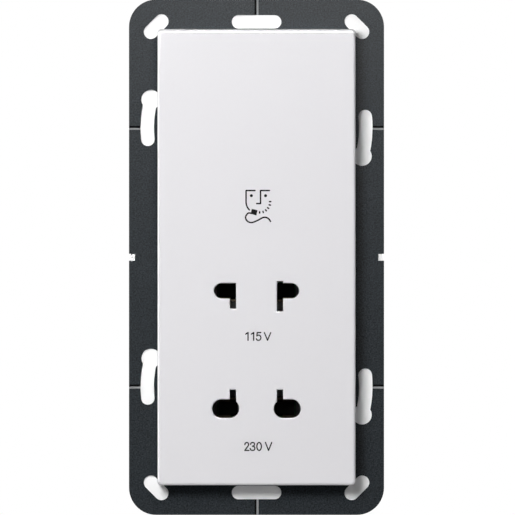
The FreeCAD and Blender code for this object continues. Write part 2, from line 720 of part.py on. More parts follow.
def vents():
    """Cooling slots beside the transformer, in the back and in both sides."""
    half = (VENT_LENGTH - VENT_WIDTH) / 2
    through = (housing_inner_rear - OVERCUT, housing_rear + OVERCUT)
    cuts = []
    for i in range(VENT_COUNT):
        z = core_z + (i - (VENT_COUNT - 1) / 2) * VENT_PITCH
        for x in (-VENT_COLUMN_X, VENT_COLUMN_X):
            cuts.append(stadium((x - half, z), (x + half, z), VENT_WIDTH / 2, through))
        side_y = about(CORE_Y, SIDE_VENT_LENGTH / 2)
        cuts.append(block(sym(housing_half_x + OVERCUT), side_y, about(z, VENT_WIDTH / 2)))
    return cuts


def terminal_openings():
    """The openings in the back and the underside that show the terminal block."""
    x = sym(terminal_half_x + TERMINAL_CUT_GAP)
    below = -housing_half_z - OVERCUT
    back_y = (housing_inner_rear - OVERCUT, housing_rear + OVERCUT)
    under_y = (board_rear, housing_rear + OVERCUT)
    back = block(x, back_y, (below, terminal_top + TERMINAL_CUT_GAP))
    return [back, block(x, under_y, (below, -inner_half_z + OVERCUT))]


def rear_housing():
    shell = rounded_prism(housing_half_x, housing_half_z, HOUSING_CORNER_RADIUS, (frame_front, housing_rear))
    shell = shell.makeFillet(HOUSING_BACK_RADIUS, edges_at(shell, housing_rear))
    cavity_y = (frame_front - OVERCUT, housing_inner_rear)
    shell = shell.cut(rounded_prism(inner_half_x, inner_half_z, inner_corner_radius, cavity_y))
    pieces = [shell] + [rod_y(place, (frame_front, boss_rear), BOSS_RADIUS) for place in boss_places]
    core_boss_y = (core_rear, housing_inner_rear + EMBED)
    pieces += [rod_y(place, core_boss_y, CORE_BOSS_RADIUS) for place in core_hole_places]
    partition_z = (board_top_z + core_z - core_length / 2) / 2
    partition_y = (housing_inner_rear - PARTITION_DEPTH, housing_inner_rear + EMBED)
    pieces.append(block(sym(inner_half_x + EMBED), partition_y, about(partition_z, PARTITION_THICKNESS / 2)))
    pieces += [nub(side, place) for side, place in lug_places]
    pilot_y = (frame_front - OVERCUT, boss_rear - BOSS_FLOOR)
    cuts = [rod_y(place, pilot_y, SCREW_RADIUS + SCREW_FIT) for place in boss_places]
    bolt_y = (core_rear - OVERCUT, core_rear + CORE_BOLT_GRIP + SCREW_TIP_ROOM)
    cuts += [rod_y(place, bolt_y, CORE_BOLT_RADIUS + SCREW_FIT) for place in core_hole_places]
    return join(pieces).cut(cuts + vents() + terminal_openings())


# Screws

def screw(length, radius=SCREW_RADIUS, head_radius=SCREW_HEAD_RADIUS, head_height=SCREW_HEAD_HEIGHT):
    """A slotted pan-head screw with its head below Y = 0 and its shank towards +Y."""
    head = rod_y((0, 0), (-head_height, 0), head_radius)
    head = head.makeFillet(head_height * SCREW_EDGE_SHARE, edges_at(head, -head_height))
    slot_y = (-head_height - OVERCUT, -head_height * (1 - SLOT_SHARE))
    head = head.cut(block(sym(head_radius + OVERCUT), slot_y, sym(SLOT_WIDTH / 2)))
    shank = rod_y((0, 0), (0, length), radius)
    shank = shank.makeChamfer(radius * SCREW_EDGE_SHARE, edges_at(shank, length))
    return join([head, shank])


def housing_screws():
    one = screw(HOUSING_SCREW_LENGTH)
    return Part.makeCompound([moved(one, x, flange_front + COUNTERBORE_DEPTH, z) for x, z in boss_places])


def retainer_screws():
    one = screw(RETAINER_SCREW_LENGTH, head_height=RETAINER_HEAD_HEIGHT)
    seat = retainer_rear + SPRING_SHEET
    return Part.makeCompound([moved(one, x, seat, z, flip=True) for x, z in retainer_screw_places])


def board_screws():
    one = screw(BOARD_SCREW_LENGTH)
    return Part.makeCompound([moved(one, x, board_rear, z, flip=True) for x, z in post_places])


def core_bolts():
    length = CORE_STACK + CORE_BOLT_GRIP
    one = screw(length, CORE_BOLT_RADIUS, CORE_BOLT_HEAD_RADIUS, CORE_BOLT_HEAD_HEIGHT)
    return Part.makeCompound([moved(one, x, core_front, z) for x, z in core_hole_places])


# Spring contacts

def contact_leaf(z, up):
    """One leaf of the pair that grips a pin, bent to a pinch behind a flared mouth."""
    mouth_y = cell_front + CONTACT_SETBACK
    bends = [
        (mouth_y, CONTACT_MOUTH),
        (mouth_y + CONTACT_PINCH_DEPTH, CONTACT_PINCH),
        (mouth_y + CONTACT_LEAF_LENGTH, CONTACT_REAR),
    ]
    x = CELL_INNER_X + CONTACT_SIDE_GAP
    near = [Vector(x, y, z + up * opening) for y, opening in bends]
    far = [Vector(x, y, z + up * (opening + CONTACT_SHEET)) for y, opening in reversed(bends)]
    leaf = polygon_prism(near + far, Vector(contact_outer - x, 0, 0))
    slit_y = (mouth_y - OVERCUT, mouth_y + CONTACT_SLIT_LENGTH)
    return leaf.cut(block(about(BLADE_X, CONTACT_SLIT_WIDTH / 2), slit_y, about(z, CELL_HALF_HEIGHT)))


def contact(z, side):
    """A contact: two leaves, a spine on the outer side and a tail to the board."""
    x = (contact_outer - CONTACT_SHEET, contact_outer)
    spine_y = (cell_front + CONTACT_SETBACK, block_rear - CONTACT_SETBACK)
    spine = block(x, spine_y, about(z, CONTACT_SPINE_HEIGHT / 2))
    tail = block(x, (spine_y[1] - EMBED, board_rear + CONTACT_TAIL_OUT), about(z, CONTACT_TAIL_WIDTH / 2))
    whole = join([contact_leaf(z, 1), contact_leaf(z, -1), spine, tail])
    return mirrored(whole) if side < 0 else whole


def tail_slots(y):
    """Cutting solids for the four contact tails."""
    slots = []
    for z in (OUTLET_115_Z, OUTLET_230_Z):
        for side in (-1, 1):
            x = on_side(side, contact_outer - CONTACT_SHEET - BOARD_SLOT_GAP, contact_outer + BOARD_SLOT_GAP)
            slots.append(block(x, y, about(z, CONTACT_TAIL_WIDTH / 2 + BOARD_SLOT_GAP)))
    return slots


# Interlock

def contact_retainer():
    through = (block_rear - OVERCUT, retainer_rear + OVERCUT)
    span_z = (block_bottom + RETAINER_EDGE, block_top - RETAINER_EDGE)
    pieces = [block(sym(CELL_OUTER_X + RETAINER_SIDE), (block_rear, retainer_rear), span_z)]
    for side in (-1, 1):
        ear_x = on_side(side, hub_gap_x, hub_gap_x + EAR_THICKNESS)
        pieces.append(block(ear_x, (block_rear, pivot_y), about(pivot_z, EAR_HALF_WIDTH)))
        pieces.append(rod_x(pivot_y, pivot_z, ear_x, EAR_HALF_WIDTH))
    swing = (pivot_y - block_rear) * math.sin(rocker_tilt) + finger_arm * (1 - math.cos(rocker_tilt))
    cuts = tail_slots(through)
    for up in (-1, 1):
        window_z = about(pivot_z + up * finger_arm, FINGER_HEIGHT / 2 + swing + FINGER_WINDOW_GAP)
        for side in (-1, 1):
            window_x = on_side(side, FINGER_INNER_X - ROCKER_SIDE_GAP, FINGER_OUTER_X + ROCKER_SIDE_GAP)
            cuts.append(block(window_x, through, window_z))
    cuts += [rod_y(place, through, SCREW_RADIUS + SCREW_CLEARANCE) for place in retainer_screw_places]
    axle_x = sym(hub_gap_x + EAR_THICKNESS + OVERCUT)
    cuts.append(rod_x(pivot_y, pivot_z, axle_x, AXLE_RADIUS + AXLE_GRIP))
    return join(pieces).cut(cuts)


def rocker_axle():
    return rod_x(pivot_y, pivot_z, sym(hub_gap_x + EAR_THICKNESS), AXLE_RADIUS)


def centring_spring():
    """A bent leaf under the rocker, held flat by the retainer's two screws."""
    half = SPRING_WIDTH / 2
    pieces = [block(sym(half), (retainer_rear, retainer_rear + SPRING_SHEET), about(pivot_z, SPRING_FLAT))]
    touch = rocker_front - SPRING_GAP - SPRING_SHEET
    path = [(retainer_rear, SPRING_FLAT - EMBED), (touch, SPRING_TIP), (touch, SPRING_TIP + SPRING_CURL)]
    for up in (-1, 1):
        near = [Vector(-half, y, pivot_z + up * z) for y, z in path]
        far = [point + Vector(0, SPRING_SHEET, 0) for point in reversed(near)]
        pieces.append(polygon_prism(near + far, Vector(SPRING_WIDTH, 0, 0)))
    hole_y = (retainer_rear - OVERCUT, rocker_front)
    holes = [rod_y(place, hole_y, SCREW_RADIUS + SCREW_CLEARANCE) for place in retainer_screw_places]
    return join(pieces).cut(holes)


def interlock_rocker():
    thickness = (rocker_front, rocker_rear)
    end = finger_arm + ROCKER_END
    pieces = [
        rod_x(pivot_y, pivot_z, sym(HUB_LENGTH / 2), HUB_RADIUS),
        block(sym(HUB_LENGTH / 2), thickness, about(pivot_z, end)),
        block(sym(PEG_WIDTH / 2), (pivot_y, peg_tip), about(pivot_z, PEG_THICKNESS / 2)),
    ]
    for up in (-1, 1):
        bar_z = sorted((pivot_z + up * (end - ROCKER_CROSSBAR), pivot_z + up * end))
        pieces.append(block(sym(FINGER_OUTER_X), thickness, bar_z))
        for side in (-1, 1):
            finger_x = on_side(side, FINGER_INNER_X, FINGER_OUTER_X)
            finger_z = about(pivot_z + up * finger_arm, FINGER_HEIGHT / 2)
            pieces.append(block(finger_x, (finger_tip, rocker_front + EMBED), finger_z))
    bore = rod_x(pivot_y, pivot_z, sym(HUB_LENGTH), AXLE_RADIUS + AXLE_FIT)
    return join(pieces).cut(bore)


# Changeover switch

def switch_pin(place, y):
    half = SWITCH_PIN_WIDTH / 2
    return block(about(place[0], half), y, about(place[1], half))


def switch_case():
    half_x = SLIDER_BASE_WIDTH / 2 + SLIDER_GAP
    half_z = SLIDER_BASE_LENGTH / 2 + slider_travel + SLIDER_END_GAP
    outer_y = (switch_front, board_front)
    case = rounded_prism(half_x + SWITCH_WALL, half_z + SWITCH_WALL, SWITCH_ROUND, outer_y, (0, pivot_z))
    cavity = block(sym(half_x), (switch_inner_front, switch_inner_rear), about(pivot_z, half_z))
    slot_x = sym(SLIDER_NECK_WIDTH / 2 + SLIDER_GAP)
    slot_z = about(pivot_z, SLIDER_NECK_LENGTH / 2 + slider_travel + SLIDER_END_GAP)
    slot = block(slot_x, (switch_front - OVERCUT, switch_inner_front + SLIDER_GAP), slot_z)
    pin_y = (switch_inner_rear - SLIDER_GAP, board_front + OVERCUT)
    return case.cut([cavity, slot] + [switch_pin(place, pin_y) for place in switch_pin_places])


def switch_pins():
    y = (switch_inner_rear, board_rear + SWITCH_PIN_OUT)
    return Part.makeCompound([switch_pin(place, y) for place in switch_pin_places])


def switch_slider():
    """The slider: a fork round the rocker's peg, a neck through the lid, and a base inside the case."""
    base_front = switch_inner_front + SLIDER_GAP
    base_y = (base_front, base_front + SLIDER_BASE_THICKNESS)
    mouth_half = PEG_THICKNESS / 2 + FORK_GAP
    head = block(sym(FORK_WIDTH / 2), (fork_front, slider_head_rear), about(pivot_z, mouth_half + FORK_ARM))
    neck_y = (slider_head_rear - EMBED, base_front + EMBED)
    neck = block(sym(SLIDER_NECK_WIDTH / 2), neck_y, about(pivot_z, SLIDER_NECK_LENGTH / 2))
    base = block(sym(SLIDER_BASE_WIDTH / 2), base_y, about(pivot_z, SLIDER_BASE_LENGTH / 2))
    mouth_x = sym(FORK_WIDTH / 2 + OVERCUT)
    mouth = block(mouth_x, (fork_front - OVERCUT, fork_floor), about(pivot_z, mouth_half))
    return join([head, neck, base]).cut(mouth)


# Circuit board and the parts on it

def leg_places(x):
    return [(x - LEG_PITCH / 2, PROTECTION_Z), (x + LEG_PITCH / 2, PROTECTION_Z)]


def circuit_board():
    through = (board_front - OVERCUT, board_rear + OVERCUT)
    bottom = -inner_half_z + BOARD_END_GAP
    half_z = (board_top_z - bottom) / 2
    outline = (board_half_x, half_z, BOARD_CORNER_RADIUS)
    board = rounded_prism(*outline, (board_front, board_rear), (0, bottom + half_z))
    holes = [(place, SCREW_RADIUS + SCREW_CLEARANCE) for place in post_places]
    holes += [(place, SWITCH_PIN_WIDTH / math.sqrt(2) + PIN_HOLE_GAP) for place in switch_pin_places]
    holes += [(place, LEG_RADIUS + PIN_HOLE_GAP) for x in (CUTOUT_X, FUSE_X) for place in leg_places(x)]
    holes += [((x, wire_z), CLAMP_PIN_RADIUS + CLAMP_PIN_GAP) for x in pole_places]
    holes += [((x, lead_end_z), LEAD_RADIUS + PIN_HOLE_GAP) for x in LEAD_PLACES.values()]
    return board.cut(tail_slots(through) + [rod_y(place, through, radius) for place, radius in holes])


def legged(body, x):
    """A component with two wire legs through the board."""
    y = (board_front - SOLDER_SIDE_OUT, board_rear + LEG_STANDOFF + EMBED)
    return join([body] + [rod_y(place, y, LEG_RADIUS) for place in leg_places(x)])


def overload_cutout():
    seat = board_rear + LEG_STANDOFF
    body = rod_y((CUTOUT_X, PROTECTION_Z), (seat, seat + CUTOUT_THICKNESS), CUTOUT_RADIUS)
    rims = edges_at(body, seat) + edges_at(body, seat + CUTOUT_THICKNESS)
    return legged(body.makeFillet(EDGE_ROUND, rims), CUTOUT_X)


def mains_fuse():
    seat = board_rear + LEG_STANDOFF
    body = rod_y((FUSE_X, PROTECTION_Z), (seat, seat + FUSE_HEIGHT), FUSE_RADIUS)
    return legged(body.makeFillet(EDGE_ROUND, edges_at(body, seat + FUSE_HEIGHT)), FUSE_X)


# Transformer

def core_bolt_holes(side):
    y = (core_front - OVERCUT, core_rear + OVERCUT)
    places = [place for place in core_hole_places if place[0] * side > 0]
    return [rod_y(place, y, CORE_BOLT_RADIUS + CORE_BOLT_CLEARANCE) for place in places]


def core_e_stack():
    """The E laminations, with two windows open towards the I laminations."""
    whole = block((-core_span / 2, core_window_half), (core_front, core_rear), about(core_z, core_length / 2))
    window_y = (core_front - OVERCUT, core_rear + OVERCUT)
    windows = []
    for up in (-1, 1):
        window_z = sorted((core_z + up * core_limb, core_z + up * 2 * core_limb))
        windows.append(block((-core_window_half, core_window_half + OVERCUT), window_y, window_z))
    return whole.cut(windows + core_bolt_holes(-1))


def core_i_stack():
    bar = block((core_window_half, core_span / 2), (core_front, core_rear), about(core_z, core_length / 2))
    return bar.cut(core_bolt_holes(1))


def coil_bobbin():
    half = core_window_half - BOBBIN_GAP
    pieces = [block(sym(half), about(CORE_Y, tube_half_y), about(core_z, tube_half_z))]
    for x in ((-half, -half + BOBBIN_FLANGE), sym(BOBBIN_PARTITION / 2), (half - BOBBIN_FLANGE, half)):
        pieces.append(block(x, about(CORE_Y, coil_half_y), about(core_z, coil_half_z)))
    bore_y = about(CORE_Y, tube_half_y - BOBBIN_WALL)
    return join(pieces).cut(block(sym(half + OVERCUT), bore_y, about(core_z, tube_half_z - BOBBIN_WALL)))


def winding(side):
    """A wound coil in one chamber of the bobbin."""
    x = on_side(side, BOBBIN_PARTITION / 2, core_window_half - BOBBIN_GAP - BOBBIN_FLANGE)
    half_y = coil_half_y - WINDING_MARGIN
    half_z = coil_half_z - WINDING_MARGIN
    coil = block(x, about(CORE_Y, half_y), about(core_z, half_z))
    corners = [e for e in coil.Edges if e.BoundBox.XLength > e.BoundBox.YLength + e.BoundBox.ZLength]
    coil = coil.makeFillet(WINDING_CORNER_RADIUS, corners)
    bore_x = (x[0] - OVERCUT, x[1] + OVERCUT)
    return coil.cut(block(bore_x, about(CORE_Y, tube_half_y), about(core_z, tube_half_z)))


def lead(x):
    """A lead that drops from the coil behind the core and turns into the board."""
    bend = LEAD_BEND_RADIUS
    short_of_corner = bend * (1 - math.sqrt(0.5))
    start = Vector(x, lead_y, lead_start_z)
    bend_top = Vector(x, lead_y, lead_end_z + bend)
    bend_middle = Vector(x, lead_y - short_of_corner, lead_end_z + short_of_corner)
    bend_end = Vector(x, lead_y - bend, lead_end_z)
    end = Vector(x, board_front - SOLDER_SIDE_OUT, lead_end_z)
    arc = Part.Arc(bend_top, bend_middle, bend_end).toShape()
    path = Part.Wire([Part.makeLine(start, bend_top), arc, Part.makeLine(bend_end, end)])
    section = Part.Wire([Part.makeCircle(LEAD_RADIUS, start, Vector(0, 0, -1))])
    return path.makePipeShell([section], True, True)


# Terminals

def terminal_block():
    body = block(sym(terminal_half_x), (board_rear, terminal_rear), (terminal_bottom, terminal_top))
    room_y = (clamp_front - CLAMP_GAP, clamp_rear + CLAMP_GAP)
    room_z = (clamp_bottom - CLAMP_GAP, clamp_top + CLAMP_GAP)
    well_z = (terminal_bottom - OVERCUT, clamp_bottom)
    well_radius = TERMINAL_SCREW_HEAD_RADIUS + SCREW_CLEARANCE
    cuts = []
    for x in pole_places:
        cuts.append(block(about(x, CLAMP_WIDTH / 2 + CLAMP_GAP), room_y, room_z))
        cuts.append(rod_y((x, wire_z), (clamp_rear, terminal_rear + OVERCUT), WIRE_HOLE_RADIUS))
        cuts.append(rod_z(x, clamp_middle, well_z, well_radius))
        cuts.append(rod_y((x, wire_z), (board_rear - OVERCUT, clamp_front), CLAMP_PIN_RADIUS + CLAMP_PIN_GAP))
    return body.cut(cuts)


def terminal_clamp(x):
    """A clamp cage with a solder pin."""
    cage = block(about(x, CLAMP_WIDTH / 2), (clamp_front, clamp_rear), (clamp_bottom, clamp_top))
    wire_room_y = (clamp_front + CLAMP_WALL, clamp_rear + OVERCUT)
    wire_room = block(about(x, CLAMP_WIDTH / 2 - CLAMP_WALL), wire_room_y, about(wire_z, CLAMP_OPENING / 2))
    thread = rod_z(x, clamp_middle, (clamp_bottom - OVERCUT, wire_z), SCREW_RADIUS + SCREW_FIT)
    pin = rod_y((x, wire_z), (board_front - CLAMP_PIN_OUT, clamp_front + CLAMP_WALL), CLAMP_PIN_RADIUS)
    return join([cage.cut([wire_room, thread]), pin])


def terminal_screws():
    under_head = terminal_bottom + TERMINAL_SCREW_SINK + TERMINAL_SCREW_HEAD_HEIGHT
    length = wire_z - CLAMP_OPENING / 2 - TERMINAL_SCREW_TIP_GAP - under_head
    one = screw(length, head_radius=TERMINAL_SCREW_HEAD_RADIUS, head_height=TERMINAL_SCREW_HEAD_HEIGHT)
    one.rotate(Vector(0, 0, 0), Vector(1, 0, 0), 90)
    return Part.makeCompound([moved(one, x, clamp_middle, under_head) for x in pole_places])


def build():
    """Every sub-part by the name of its node."""
    parts = {
        "carrier_frame": carrier_frame(),
        "cover_plate": cover_plate(),
        "socket_base": socket_base(),
        "rear_housing": rear_housing(),
        "housing_screws": housing_screws(),
        "contact_115_left": contact(OUTLET_115_Z, -1),
        "contact_115_right": contact(OUTLET_115_Z, 1),
        "contact_230_left": contact(OUTLET_230_Z, -1),
        "contact_230_right": contact(OUTLET_230_Z, 1),
        "contact_retainer": contact_retainer(),
        "retainer_screws": retainer_screws(),
        "centring_spring": centring_spring(),
        "rocker_axle": rocker_axle(),
        "interlock_rocker": interlock_rocker(),
        "switch_case": switch_case(),
        "switch_slider": switch_slider(),
        "switch_pins": switch_pins(),
        "circuit_board": circuit_board(),
        "board_screws": board_screws(),
        "overload_cutout": overload_cutout(),
        "mains_fuse": mains_fuse(),
        "core_e_stack": core_e_stack(),
        "core_i_stack": core_i_stack(),
        "coil_bobbin": coil_bobbin(),
        "primary_winding": winding(-1),
        "secondary_winding": winding(1),
        "core_bolts": core_bolts(),
        "terminal_block": terminal_block(),
        "terminal_screws": terminal_screws(),
    }
    for name, x in zip(("clamp_live", "clamp_earth", "clamp_neutral"), pole_places):
        parts[name] = terminal_clamp(x)
    for name, x in LEAD_PLACES.items():
        parts[name] = lead(x)
    return parts


os.makedirs("parts", exist_ok=True)
for node, shape in build().items():
    shape.exportStep(f"parts/{node}.step")
    print(node, len(shape.Solids), round(shape.Volume, 2), shape.isValid())
print("rocker tilt in degrees", math.degrees(rocker_tilt), "about", pivot_y, pivot_z)
print("slider arm", slider_arm, "and travel", slider_travel)
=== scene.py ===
import json
import math
import bmesh
import bpy
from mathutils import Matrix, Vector


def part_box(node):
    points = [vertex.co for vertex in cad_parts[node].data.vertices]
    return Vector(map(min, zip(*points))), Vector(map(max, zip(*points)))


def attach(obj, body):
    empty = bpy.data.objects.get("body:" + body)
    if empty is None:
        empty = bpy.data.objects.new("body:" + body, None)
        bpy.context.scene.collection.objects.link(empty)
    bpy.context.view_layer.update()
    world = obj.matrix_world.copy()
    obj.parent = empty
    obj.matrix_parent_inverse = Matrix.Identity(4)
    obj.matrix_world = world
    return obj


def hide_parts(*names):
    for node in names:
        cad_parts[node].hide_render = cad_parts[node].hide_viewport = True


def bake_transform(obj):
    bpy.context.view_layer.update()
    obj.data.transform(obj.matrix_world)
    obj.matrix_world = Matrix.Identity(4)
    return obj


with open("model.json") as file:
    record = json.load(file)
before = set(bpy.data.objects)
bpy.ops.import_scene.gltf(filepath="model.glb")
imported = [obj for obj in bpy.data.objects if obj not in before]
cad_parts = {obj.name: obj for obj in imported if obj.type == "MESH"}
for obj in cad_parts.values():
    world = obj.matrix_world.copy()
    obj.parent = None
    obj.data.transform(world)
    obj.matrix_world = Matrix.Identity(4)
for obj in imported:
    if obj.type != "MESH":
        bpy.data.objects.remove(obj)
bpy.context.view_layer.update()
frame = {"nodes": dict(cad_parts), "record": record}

nodes = frame["nodes"]
scene = bpy.context.scene
mm = 0.001
slotOf = {row["node"]: row["material_slot"] for row in frame["record"]["subparts"]}
slotColour = {row["slot"]: tuple(row["base_color"]) for row in frame["record"]["materials"]}
print("frame loaded with", len(nodes), "nodes")


# camera straight in front, far off, with a long lens

viewing = {"lens": 1200.0, "sensor": 36.0, "field": 0.14136, "plane": -0.0012, "x": 0.00027, "z": -0.00008,
           "near": 0.1, "far": 40.0}


def makeCamera(look):
    data = bpy.data.cameras.new("camera")
    data.lens = look["lens"]
    data.sensor_width = look["sensor"]
    data.clip_start = look["near"]
    data.clip_end = look["far"]
    camera = bpy.data.objects.new("camera", data)
    away = look["field"] * look["lens"] / look["sensor"]
    camera.location = (look["x"], look["plane"] - away, look["z"])
    camera.rotation_euler = (math.radians(90), 0, 0)
    scene.collection.objects.link(camera)
    scene.camera = camera


makeCamera(viewing)


# node helpers

def put(tree, kind, inputs=None, **options):
    node = tree.nodes.new("ShaderNode" + kind)
    for option, value in options.items():
        setattr(node, option, value)
    return feed(tree, node, inputs)


def feed(tree, node, inputs):
    for socket, value in (inputs or {}).items():
        if isinstance(value, bpy.types.NodeSocket):
            tree.links.new(value, node.inputs[socket])
        else:
            node.inputs[socket].default_value = value
    return node


def sums(tree, operation, first, second, third=None, clamp=False):
    inputs = {0: first, 1: second}
    if third is not None:
        inputs[2] = third
    return put(tree, "Math", inputs, operation=operation, use_clamp=clamp).outputs[0]


def blendColour(tree, factor, under, over, way="MIX"):
    node = put(tree, "Mix", {0: factor, 6: under, 7: over}, data_type="RGBA", blend_type=way)
    return node.outputs[2]


def opaque(colour):
    return (colour[0], colour[1], colour[2], 1.0)


def newGroup(name, inputs, outputs):
    tree = bpy.data.node_groups.new(name, "ShaderNodeTree")
    for label, kind, value in inputs:
        socket = tree.interface.new_socket(name=label, in_out="INPUT", socket_type="NodeSocket" + kind)
        socket.default_value = value
    for label, kind in outputs:
        tree.interface.new_socket(name=label, in_out="OUTPUT", socket_type="NodeSocket" + kind)
    start = tree.nodes.new("NodeGroupInput")
    end = tree.nodes.new("NodeGroupOutput")
    return tree, start.outputs, end


def useGroup(tree, group, inputs):
    node = tree.nodes.new("ShaderNodeGroup")
    node.node_tree = group
    return feed(tree, node, inputs).outputs


# effects shared by the finishes

def makeFineGrain():
    tree, given, end = newGroup("fineGrain", [
        ("Scale", "Float", 2500.0), ("Stretch", "Vector", (1, 1, 1)),
        ("Contrast", "Float", 0.1), ("Mottle", "Float", 0.05),
    ], [("Tint", "Float"), ("Height", "Float")])
    place = put(tree, "TexCoord").outputs["Object"]
    pulled = put(tree, "VectorMath", {0: place, 1: given["Stretch"]}, operation="MULTIPLY").outputs[0]
    fine = put(tree, "TexNoise", {"Vector": pulled, "Scale": given["Scale"], "Detail": 3.0, "Roughness": 0.6})
    wideScale = sums(tree, "MULTIPLY", given["Scale"], 0.06)
    wide = put(tree, "TexNoise", {"Vector": place, "Scale": wideScale, "Detail": 2.0})
    fineShift = sums(tree, "MULTIPLY", sums(tree, "SUBTRACT", fine.outputs[0], 0.5), given["Contrast"])
    wideShift = sums(tree, "MULTIPLY", sums(tree, "SUBTRACT", wide.outputs[0], 0.5), given["Mottle"])
    tint = sums(tree, "ADD", sums(tree, "ADD", fineShift, wideShift), 1.0)
    feed(tree, end, {"Tint": tint, "Height": fine.outputs[0]})
    return tree


def makeRoundedEdge():
    tree, given, end = newGroup("roundedEdge", [("Radius", "Float", 0.0002)],
                                [("Normal", "Vector"), ("Edge", "Float")])
    soft = put(tree, "Bevel", {"Radius": given["Radius"]}, samples=4).outputs[0]
    flat = put(tree, "NewGeometry").outputs["Normal"]
    match = put(tree, "VectorMath", {0: soft, 1: flat}, operation="DOT_PRODUCT").outputs["Value"]
    edge = put(tree, "MapRange", {"Value": match, "From Min": 0.995, "From Max": 0.85}).outputs[0]
    feed(tree, end, {"Normal": soft, "Edge": edge})
    return tree


def makeEdgeWear():
    tree, given, end = newGroup("edgeWear", [
        ("Edge", "Float", 0.0), ("Amount", "Float", 0.3), ("Scale", "Float", 700.0),
    ], [("Mask", "Float")])
    place = put(tree, "TexCoord").outputs["Object"]
    breakup = put(tree, "TexNoise", {"Vector": place, "Scale": given["Scale"], "Detail": 4.0}).outputs[0]
    patches = put(tree, "MapRange", {"Value": breakup, "From Min": 0.42, "From Max": 0.62}).outputs[0]
    mask = sums(tree, "MULTIPLY", sums(tree, "MULTIPLY", given["Edge"], patches), given["Amount"], clamp=True)
    feed(tree, end, {"Mask": mask})
    return tree


def makeDustFilm():
    tree, given, end = newGroup("dustFilm", [("Amount", "Float", 0.1), ("Scale", "Float", 300.0)],
                                [("Mask", "Float")])
    facing = put(tree, "SeparateXYZ", {0: put(tree, "NewGeometry").outputs["Normal"]}).outputs[2]
    upward = put(tree, "MapRange", {"Value": facing, "From Min": -0.1, "From Max": 0.9,
                                    "To Min": 0.12}).outputs[0]
    place = put(tree, "TexCoord").outputs["Object"]
    drift = put(tree, "TexNoise", {"Vector": place, "Scale": given["Scale"], "Detail": 5.0}).outputs[0]
    mask = sums(tree, "MULTIPLY", sums(tree, "MULTIPLY", upward, drift), given["Amount"], clamp=True)
    feed(tree, end, {"Mask": mask})
    return tree


def makeSheetStack():
    tree, given, end = newGroup("sheetStack", [
        ("Axis", "Vector", (0, 1, 0)), ("Pitch", "Float", 0.0005), ("Spread", "Float", 0.2),
    ], [("Tint", "Float"), ("Height", "Float"), ("Seam", "Float")])
    place = put(tree, "TexCoord").outputs["Object"]
    along = put(tree, "VectorMath", {0: place, 1: given["Axis"]}, operation="DOT_PRODUCT").outputs["Value"]
    sheets = sums(tree, "DIVIDE", along, given["Pitch"])
    share = sums(tree, "FRACT", sheets, 0.0)
    sheetNumber = sums(tree, "FLOOR", sheets, 0.0)
    number = put(tree, "TexWhiteNoise", {"W": sheetNumber}, noise_dimensions="1D").outputs[0]
    tint = sums(tree, "MULTIPLY_ADD", sums(tree, "SUBTRACT", number, 0.5), given["Spread"], 1.0)
    crown = sums(tree, "PINGPONG", share, 0.5)
    seam = put(tree, "MapRange", {"Value": crown, "From Min": 0.14, "From Max": 0.03}).outputs[0]
    feed(tree, end, {"Tint": tint, "Height": crown, "Seam": seam})
    return tree


def makePaintedGrooveLight():
    # a scored line's flank that faces up or left gets painted highlight, the other one gets painted shade
    tree, given, end = newGroup("paintedGrooveLight", [("Face", "Float", -0.0008)],
                                [("Mask", "Float"), ("Shade", "Float")])
    normal = put(tree, "NewGeometry").outputs["True Normal"]
    flank, facing = (put(tree, "VectorMath", {0: normal, 1: way}, operation="DOT_PRODUCT").outputs["Value"]
                     for way in ((-0.707, 0, 0.707), (0, -1, 0)))
    depth = put(tree, "SeparateXYZ", {0: put(tree, "TexCoord").outputs["Object"]}).outputs[1]
    outside = sums(tree, "LESS_THAN", depth, given["Face"])
    within = sums(tree, "MULTIPLY", sums(tree, "GREATER_THAN", facing, 0.5), outside)
    feed(tree, end, {"Mask": sums(tree, "MULTIPLY", sums(tree, "GREATER_THAN", flank, 0.25), within),
                     "Shade": sums(tree, "MULTIPLY", sums(tree, "LESS_THAN", flank, -0.25), within)})
    return tree


fineGrain = makeFineGrain()
roundedEdge = makeRoundedEdge()
edgeWear = makeEdgeWear()
dustFilm = makeDustFilm()
sheetStack = makeSheetStack()
paintedGrooveLight = makePaintedGrooveLight()
print("shared effects ready")


# one builder for the finishes; every finish has its own dictionary

